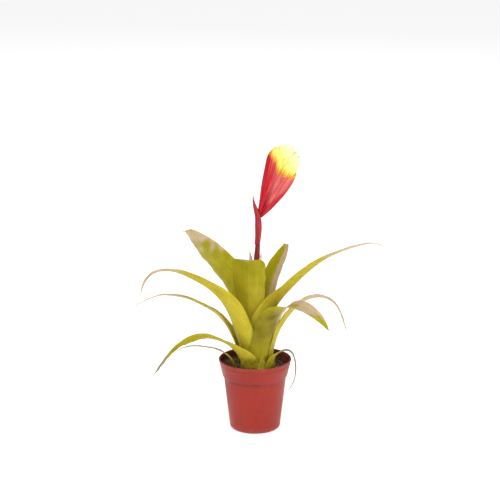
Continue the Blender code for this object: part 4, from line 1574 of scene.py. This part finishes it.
@dataclass
class Spike:
    """The flat flower spike: bracts by turns left and right, each enclosing the ones above it."""

    foot: tuple[float, float, float] = (STALK_LEAN, 0.0, 273 * MM)
    tilt: float = math.radians(23.5)
    spacing: float = 3 * MM
    thickness: float = BRACT_THICKNESS
    gap: float = BRACT_GAP
    rachis: float = 1.5 * MM
    nose: float = 4.5 * MM
    bracts: tuple[Bract, ...] = (
        Bract("bract_right_1", Side.RIGHT,
              ((0, 4), (12, 9.6), (26, 14.6), (38, 18.2), (49, 20.4), (59, 21.4), (67, 21.2)), 14, 0.7, 66),
        Bract("bract_left_1", Side.LEFT,
              ((0, -2.6), (12, -6), (36, -13), (59, -18.4), (73, -20.4), (85, -17)), 14, 0.5, 66),
        Bract("bract_right_2", Side.RIGHT,
              ((0, 3.6), (14, 9.4), (30, 14.6), (46, 17.8), (60, 19.2), (72, 19.6), (83, 15.8)), 17, 0.9, 65),
        Bract("bract_left_2", Side.LEFT,
              ((0, -3), (16, -7), (36, -12.4), (56, -16.4), (71, -17.6), (83, -12.6)), 17, 0.8, 64),
        Bract("bract_right_3", Side.RIGHT,
              ((0, 3.2), (18, 8.4), (38, 13.4), (58, 16.4), (72, 16), (83, 10)), 18, 0.9, 62),
        Bract("bract_left_3", Side.LEFT,
              ((0, -3.2), (20, -6.8), (40, -10.8), (60, -13), (73, -11.4), (82, -6)), 18, 0.8, 62),
        Bract("bract_right_4", Side.RIGHT,
              ((0, 3), (22, 5.8), (42, 9), (62, 10.4), (74, 7.6), (81, 3)), 16, 0.8, 60),
        Bract("bract_left_4", Side.LEFT,
              ((0, -2.6), (24, -4), (44, -5.8), (61, -6.4), (71, -4.6), (78, -1.6)), 10, 0.8, 60),
    )

    def place(self, along: Array, across: Array, out: Array) -> Array:
        """World points at these distances along the spike's axis, across it, and out of its flat plane.

        Args:
            along: Distances along the axis.
            across: Distances to the right.
            out: Distances to the back.

        Returns:
            Points.
        """
        axis = np.array([math.sin(self.tilt), 0.0, math.cos(self.tilt)])
        right = np.array([math.cos(self.tilt), 0.0, -math.sin(self.tilt)])
        back = np.array([0.0, 1.0, 0.0])
        in_plane = np.array(self.foot) + along[..., None] * axis + across[..., None] * right
        return in_plane + out[..., None] * back

    def level(self, layer: int, along: Array) -> Array:
        """Distance of a bract's side from the flat plane.

        It grows by one bract and one gap for each bract that starts further up, along a curve that
        levels off where the last one starts.

        Args:
            layer: The bract's layer.
            along: Distances along the spike's axis.

        Returns:
            Distances.
        """
        innermost = len(self.bracts) - 1
        reached = np.clip(along / (innermost * self.spacing * 4 / 3), 0, 1)
        started = innermost * (1 - (1 - reached) ** (4 / 3))
        return self.rachis + self.gap + self.thickness / 2 + (self.thickness + self.gap) * (started - layer)

    def sheet(self, bract: Bract, layer: int, along: Array, across: Array) -> tuple[Array, Array, Array]:
        """A bract's middle surface, folded along its keel like a boat.

        The keel is a smooth curve in the flat plane. Each side runs in from it for the width of its
        wing. A side's distance from the plane rises over a rounded nose as a quarter of an ellipse, then
        follows the bract's level, drawn in a little at the wing's edge.

        Args:
            bract: The bract.
            layer: Its layer.
            along: Shares of the keel's length.
            across: Places from -1 to 1 across the fold.

        Returns:
            Points, and the distances along and across the spike of each.
        """
        keel = smooth_curve(np.array(bract.keel) * MM, along) + np.array([layer * self.spacing, 0.0])
        heading = unit(np.gradient(keel, along, axis=0))
        side = bract.side.value
        inward = np.stack([side * heading[:, 1], -side * heading[:, 0]], 1)
        wing = bract.wing * MM * (0.3 + 0.7 * ease(0, 0.55, along)) * (1 - 0.9 * ease(0.76, 1, along) ** 2)
        depth = wing[:, None] * np.abs(across)
        spot = keel[:, None] + depth[..., None] * inward[:, None]
        blunt = self.nose * (0.4 + 0.6 * ease(0, 0.4, along))[:, None]
        rounding = np.sqrt(1 - np.clip(1 - depth / blunt, 0, 1) ** 2)
        level = self.level(layer, spot[..., 0]) * (1 - 0.45 * ease(0.82, 1.0, along))[:, None]
        swell = 0.12 * MM * ripple(spot, 14 * MM, BRACT_SHAPE_SEED + layer) * rounding
        out = (level * rounding + swell) * np.sign(across)
        return self.place(spot[..., 0], spot[..., 1], out), spot[..., 0], spot[..., 1]

    def marks(
        self, bract: Bract, layer: int, along: Array, across: Array, a: Array, b: Array
    ) -> dict[str, Array]:
        """The bract's colour fields.

        It is crimson at the left and the lower right, pinker between, and yellow past a ripening line
        that rises to the left.

        Args:
            bract: The bract.
            layer: Its layer.
            along: Shares of the keel's length.
            across: Places across the fold.
            a: Distances along the spike.
            b: Distances across it.

        Returns:
            Fields on the sheet's grid.
        """
        u, v = np.broadcast_arrays(along[:, None], np.abs(across))
        streak = ripple(np.stack([v * 9, u * 1.2], -1), 1.0, BRACT_MARK_SEED + layer)
        left_band = ease(11 * MM, 3 * MM, b + 0.27 * a)
        low_right = ease(-8 * MM, -3 * MM, b - 0.48 * a) * ease(52 * MM, 34 * MM, a)
        pink = bract.pink * (1 - left_band) * (1 - 0.85 * low_right) * (0.6 + 0.4 * ease(0.0, 0.4, v))
        pink = pink + 0.10 * streak - 0.16 * left_band + 0.6 * left_band * ease(68 * MM, 82 * MM, a)
        line = (bract.ripe_from + 13 * ease(-2 * MM, -13 * MM, b)) * MM
        ripe = ease(-13 * MM, 11 * MM, a - line + 3.5 * MM * streak)
        pale = ease(72 * MM, 96 * MM, a + 0.6 * b + 2.0 * MM * streak)
        return {"pink": pink, "ripe": ripe, "pale": 0.85 * pale,
                "u": across * 0.5 + 0.5 + 0 * u, "v": u + 0 * v}

    def build(self) -> list[bpy.types.Object]:
        """Makes every bract and the axis inside them.

        Returns:
            The bracts, then the axis.
        """
        finish = FlowerFinish().material()
        along = closer_to_end(96, 1.2)
        half = np.linspace(0.0, 1.0, 22) ** 1.7
        across = np.concatenate([-half[:0:-1], half])[None]
        edge = 0.3 + 0.7 * thinning(across, 3)
        crest = 1 + 0.5 * bell(0.0, 0.05, across)
        body = self.thickness * edge * crest * (1 - 0.5 * ease(0.8, 1, along))[:, None]
        made = []
        for layer, bract in enumerate(self.bracts):
            sheet, a, b = self.sheet(bract, layer, along, across)
            rings = thicken(sheet, body)
            fields = both_faces(self.marks(bract, layer, along, across, a, b))
            made.append(add_rings(bract.name + "_boat", rings, fields, finish, (bract.name,)))
        made.append(self.build_axis())
        return made

    def build_axis(self) -> bpy.types.Object:
        """The thin axis inside the bracts: a tapering tube with a swelling where each bract sits.

        Returns:
            The axis, which stands for the CAD one.
        """
        share = np.linspace(0.0, 1.0, 60)
        turn = circle(24)
        reach = len(self.bracts) * self.spacing
        swelling = 1 + 0.06 * np.sin(share * len(self.bracts) * math.tau)
        radius = self.rachis * (1 - 0.8 * share**1.3) * swelling
        along = share[:, None] * reach + 0 * turn
        rings = self.place(along, radius[:, None] * np.cos(turn), radius[:, None] * np.sin(turn))
        fields = {"low": 0.0 * along, "u": turn / math.tau + 0 * along, "v": along / reach}
        return add_rings("spike_axis_core", rings, fields, StalkFinish("spike_core").material(),
                         ("spike_axis",))


@dataclass
class Stalk:
    """The flower stalk, and the long bract that clasps it and ends in a free tip on the left."""

    foot: float = 96.3 * MM
    top: float = 272.4 * MM
    lean: float = STALK_LEAN
    foot_radius: float = 3.7 * MM
    top_radius: float = 2.8 * MM
    clasp: float = 4.9 * MM
    thickness: float = BRACT_THICKNESS
    gap: float = BRACT_GAP

    def path(self, shares: Array) -> Array:
        """The stalk's middle line at these shares of its length.

        Args:
            shares: Shares from 0 to 1.

        Returns:
            Points.
        """
        knots = np.array([0, 0.3, 0.65, 0.85, 1])
        lean = self.lean * np.array([0, 0.1, 0.35, 0.85, 1])
        level = self.foot + (self.top - self.foot) * knots
        return smooth_curve(np.stack([lean, 0 * knots, level], 1), shares)

    def build(self) -> list[bpy.types.Object]:
        """Makes the stalk and its bract.

        Returns:
            The stalk, then its bract.
        """
        finish = StalkFinish().material()
        share = np.linspace(0.0, 1.0, 120)
        turn = circle(40)
        radius = self.foot_radius + (self.top_radius - self.foot_radius) * ease(0.65, 0.85, share)
        spot = np.stack(np.broadcast_arrays(turn * 2.0, share[:, None] * 30), -1)
        rib = 1 + 0.022 * np.cos(9 * turn + 2 * share[:, None]) + 0.012 * ripple(spot, 3.0, 21)
        centre = self.path(share)
        rings = np.stack([centre[:, 0][:, None] + radius[:, None] * rib * np.cos(turn),
                          radius[:, None] * rib * np.sin(turn), centre[:, 2][:, None] + 0 * rib], -1)
        low = 0.55 * (1 - ease(0.74, 0.88, share))[:, None] + 0 * turn
        fields = {"low": low, "u": turn / math.tau + 0 * low, "v": share[:, None] + 0 * low}
        stalk = add_rings("scape_stalk", rings, fields, finish, ("scape",))
        return [stalk, self.build_bract()]

    def build_bract(self) -> bpy.types.Object:
        """The clasping bract.

        Up to half its length it is most of a cylinder round the stalk, and widens upwards. Past that its
        back leaves the stalk, leans to the left, and narrows to a point.

        Returns:
            The bract, which stands for the CAD one.
        """
        along = closer_to_end(90, 1.2)
        across = closer_to_margins(37)
        snug = self.top_radius + 2 * self.gap + self.thickness / 2
        path = self.path(np.array([0.8, 0.87, 0.94, 0.985]))
        path[1:, 0] += 0.5 * (self.clasp - snug)
        back = np.array([-1.0, 0.0, 0.0])
        rise = path[-1][2] - path[0][2]
        top = path[-1] + self.clasp * back
        knots = [path[0] + snug * back, path[1] + 0.5 * (snug + self.clasp) * back,
                 path[2] + self.clasp * back, top]
        knots += [top + np.array([-out * MM, 0, share * rise])
                  for out, share in ((1.8, 0.35), (3, 0.7), (2.6, 1.0))]
        spine = smooth_curve(np.array(knots), along)
        tangent = unit(np.gradient(spine, along, axis=0))
        side = np.tile([0.0, -1.0, 0.0], (len(along), 1))
        upper = unit(np.cross(tangent, side))
        wrap = (math.radians(135) - math.radians(52) * ease(0.3, 0.8, along))[:, None]
        radius = snug + (self.clasp - snug) * ease(0, 0.4, along)
        radius = (radius * (1 - 0.9 * ease(0.6, 1, along) ** 1.25))[:, None]
        sheet = arc_sheet(spine, side, upper, radius, wrap * across)
        body = 0.35 + 0.65 * thinning(across, 3) + 0.3 * bell(0, 0.08, across)
        rings = thicken(sheet, self.thickness * body * (1 - 0.5 * ease(0.7, 1, along))[:, None])
        u, v = np.broadcast_arrays(along[:, None], across)
        streak = ripple(np.stack([v * 5, u * 2], -1), 1.0, 61)
        pink = 0.35 + 0.35 * ease(0.2, 0.9, np.abs(v)) + 0.2 * streak
        fields = {"pink": pink, "ripe": 0 * u, "pale": 0 * u, "u": v * 0.5 + 0.5, "v": u + 0 * v}
        finish = FlowerFinish("scape_bract", crimson=(0.33, 0.003, 0.018), pink=(0.48, 0.03, 0.050))
        return add_rings("scape_bract_clasp", rings, both_faces(fields), finish.material(),
                         ("scape_bract",))


@dataclass
class StemBase:
    """The short stem that the sheaths grow from, with the rings that old leaves left on it."""

    radius: float = STEM_RADIUS
    low: float = 70 * MM
    high: float = 96 * MM

    def build(self) -> bpy.types.Object:
        """A round-topped post whose radius steps in and out at each leaf scar.

        Returns:
            The post, which stands for the CAD stem base.
        """
        share = np.linspace(0.0, 1.0, 70)
        turn = circle(48)
        dome = np.sqrt(np.clip(1 - (np.clip(share - 0.88, 0, 1) / 0.125) ** 2, 0.002, 1))
        ridged = 1 - 0.035 * (np.sin(share * 9 * math.tau) > 0.4)
        radius = (self.radius * dome * ridged)[:, None] * (1 + 0.01 * np.cos(5 * turn))
        rings = turned(radius, turn, (self.low + (self.high - self.low) * share)[:, None])
        finish = CrumbFinish("stem_tissue", dark=(0.13, 0.09, 0.02), light=(0.36, 0.31, 0.09), grain=500.0,
                             depth=0.0003, rough=0.7).material()
        tone = 0.5 + 0.3 * ripple(rings, 5 * MM, 33)
        return add_rings("stem_base_post", rings, {"tone": tone}, finish, ("stem_base",))


# ---- Studio ------------------------------------------------------------------------------------------
@dataclass
class Studio:
    """White sweep, soft light from above, the sides and behind, and a long lens a little above the plant."""

    aim: tuple[float, float, float] = (-6.2 * MM, 0.0, 229.8 * MM)
    elevation: float = math.radians(16)
    distance: float = 3.0
    lens: float = 176.0
    ambient: float = 0.42
    floor_size: float = 14.0
    floor_grey: float = 0.70
    floor_glow: float = 0.60

    def build(self) -> None:
        """Sets up the floor, the lights, the colour handling and the camera."""
        bpy.context.scene.view_settings.view_transform = "Standard"
        self.build_floor()
        self.build_world()
        self.add_light("softbox_over", (-0.3, -1.3, 1.8), 1.3, 24.0)
        self.add_light("softbox_right", (1.6, -1.3, 1.0), 1.0, 11.0)
        self.add_light("softbox_behind", (0.2, 1.6, 1.4), 1.4, 14.0)
        self.build_camera()

    def build_floor(self) -> None:
        """A wide white floor, faintly uneven in gloss, that isn't part of the object."""
        bench = Bench("white_sweep")
        bench.set(Base_Color=(self.floor_grey,) * 3, Emission_Color=(1.0, 1.0, 1.0))
        bench.set(Emission_Strength=self.floor_glow, Specular_IOR_Level=0.1)
        bench.set(Roughness=bench.span(bench.noise(3.0), 0.3, 0.7, 0.75, 0.85))
        half = self.floor_size / 2
        corners = [(-half, -half, 0), (half, -half, 0), (half, half, 0), (-half, half, 0)]
        mesh = bpy.data.meshes.new("floor")
        mesh.from_pydata(corners, [], [(0, 1, 2, 3)])
        mesh.materials.append(bench.material)
        floor = add_object("floor", mesh)

    def build_world(self) -> None:
        """An even white surround."""
        world = bpy.data.worlds.new("white_room")
        world.use_nodes = True
        world.node_tree.nodes["Background"].inputs["Color"].default_value = (1.0, 1.0, 1.0, 1.0)
        world.node_tree.nodes["Background"].inputs["Strength"].default_value = self.ambient
        bpy.context.scene.world = world

    def add_light(self, name: str, place: tuple[float, float, float], size: float, watts: float) -> None:
        """A square softbox aimed at the middle of the plant.

        Args:
            name: Its name.
            place: Where it hangs.
            size: Length of its side.
            watts: Its power.
        """
        light = bpy.data.lights.new(name, "AREA")
        light.size = size
        light.energy = watts
        lamp = add_object(name, light)
        lamp.location = place
        x, y, z = np.array(self.aim) - np.array(place)
        lamp.rotation_euler = (math.atan2(math.hypot(x, y), -z), 0.0, math.atan2(-x, y))

    def build_camera(self) -> None:
        """A long lens that looks a little down at the plant's front."""
        data = bpy.data.cameras.new("camera")
        data.lens = self.lens
        data.clip_end = 50.0
        camera = add_object("camera", data)
        camera.location = (self.aim[0], self.aim[1] - self.distance * math.cos(self.elevation),
                           self.aim[2] + self.distance * math.sin(self.elevation))
        camera.rotation_euler = (math.pi / 2 - self.elevation, 0.0, 0.0)
        bpy.context.scene.camera = camera


def main() -> None:
    """Builds the plant from the pot up, then the studio."""
    logging.basicConfig(level=logging.INFO, format="%(name)s: %(message)s")
    Pot().build()
    PottingMix().build()
    StemBase().build()
    Rosette().build()
    Stalk().build()
    Spike().build()
    Studio().build()


if __name__ == "__main__":
    main()
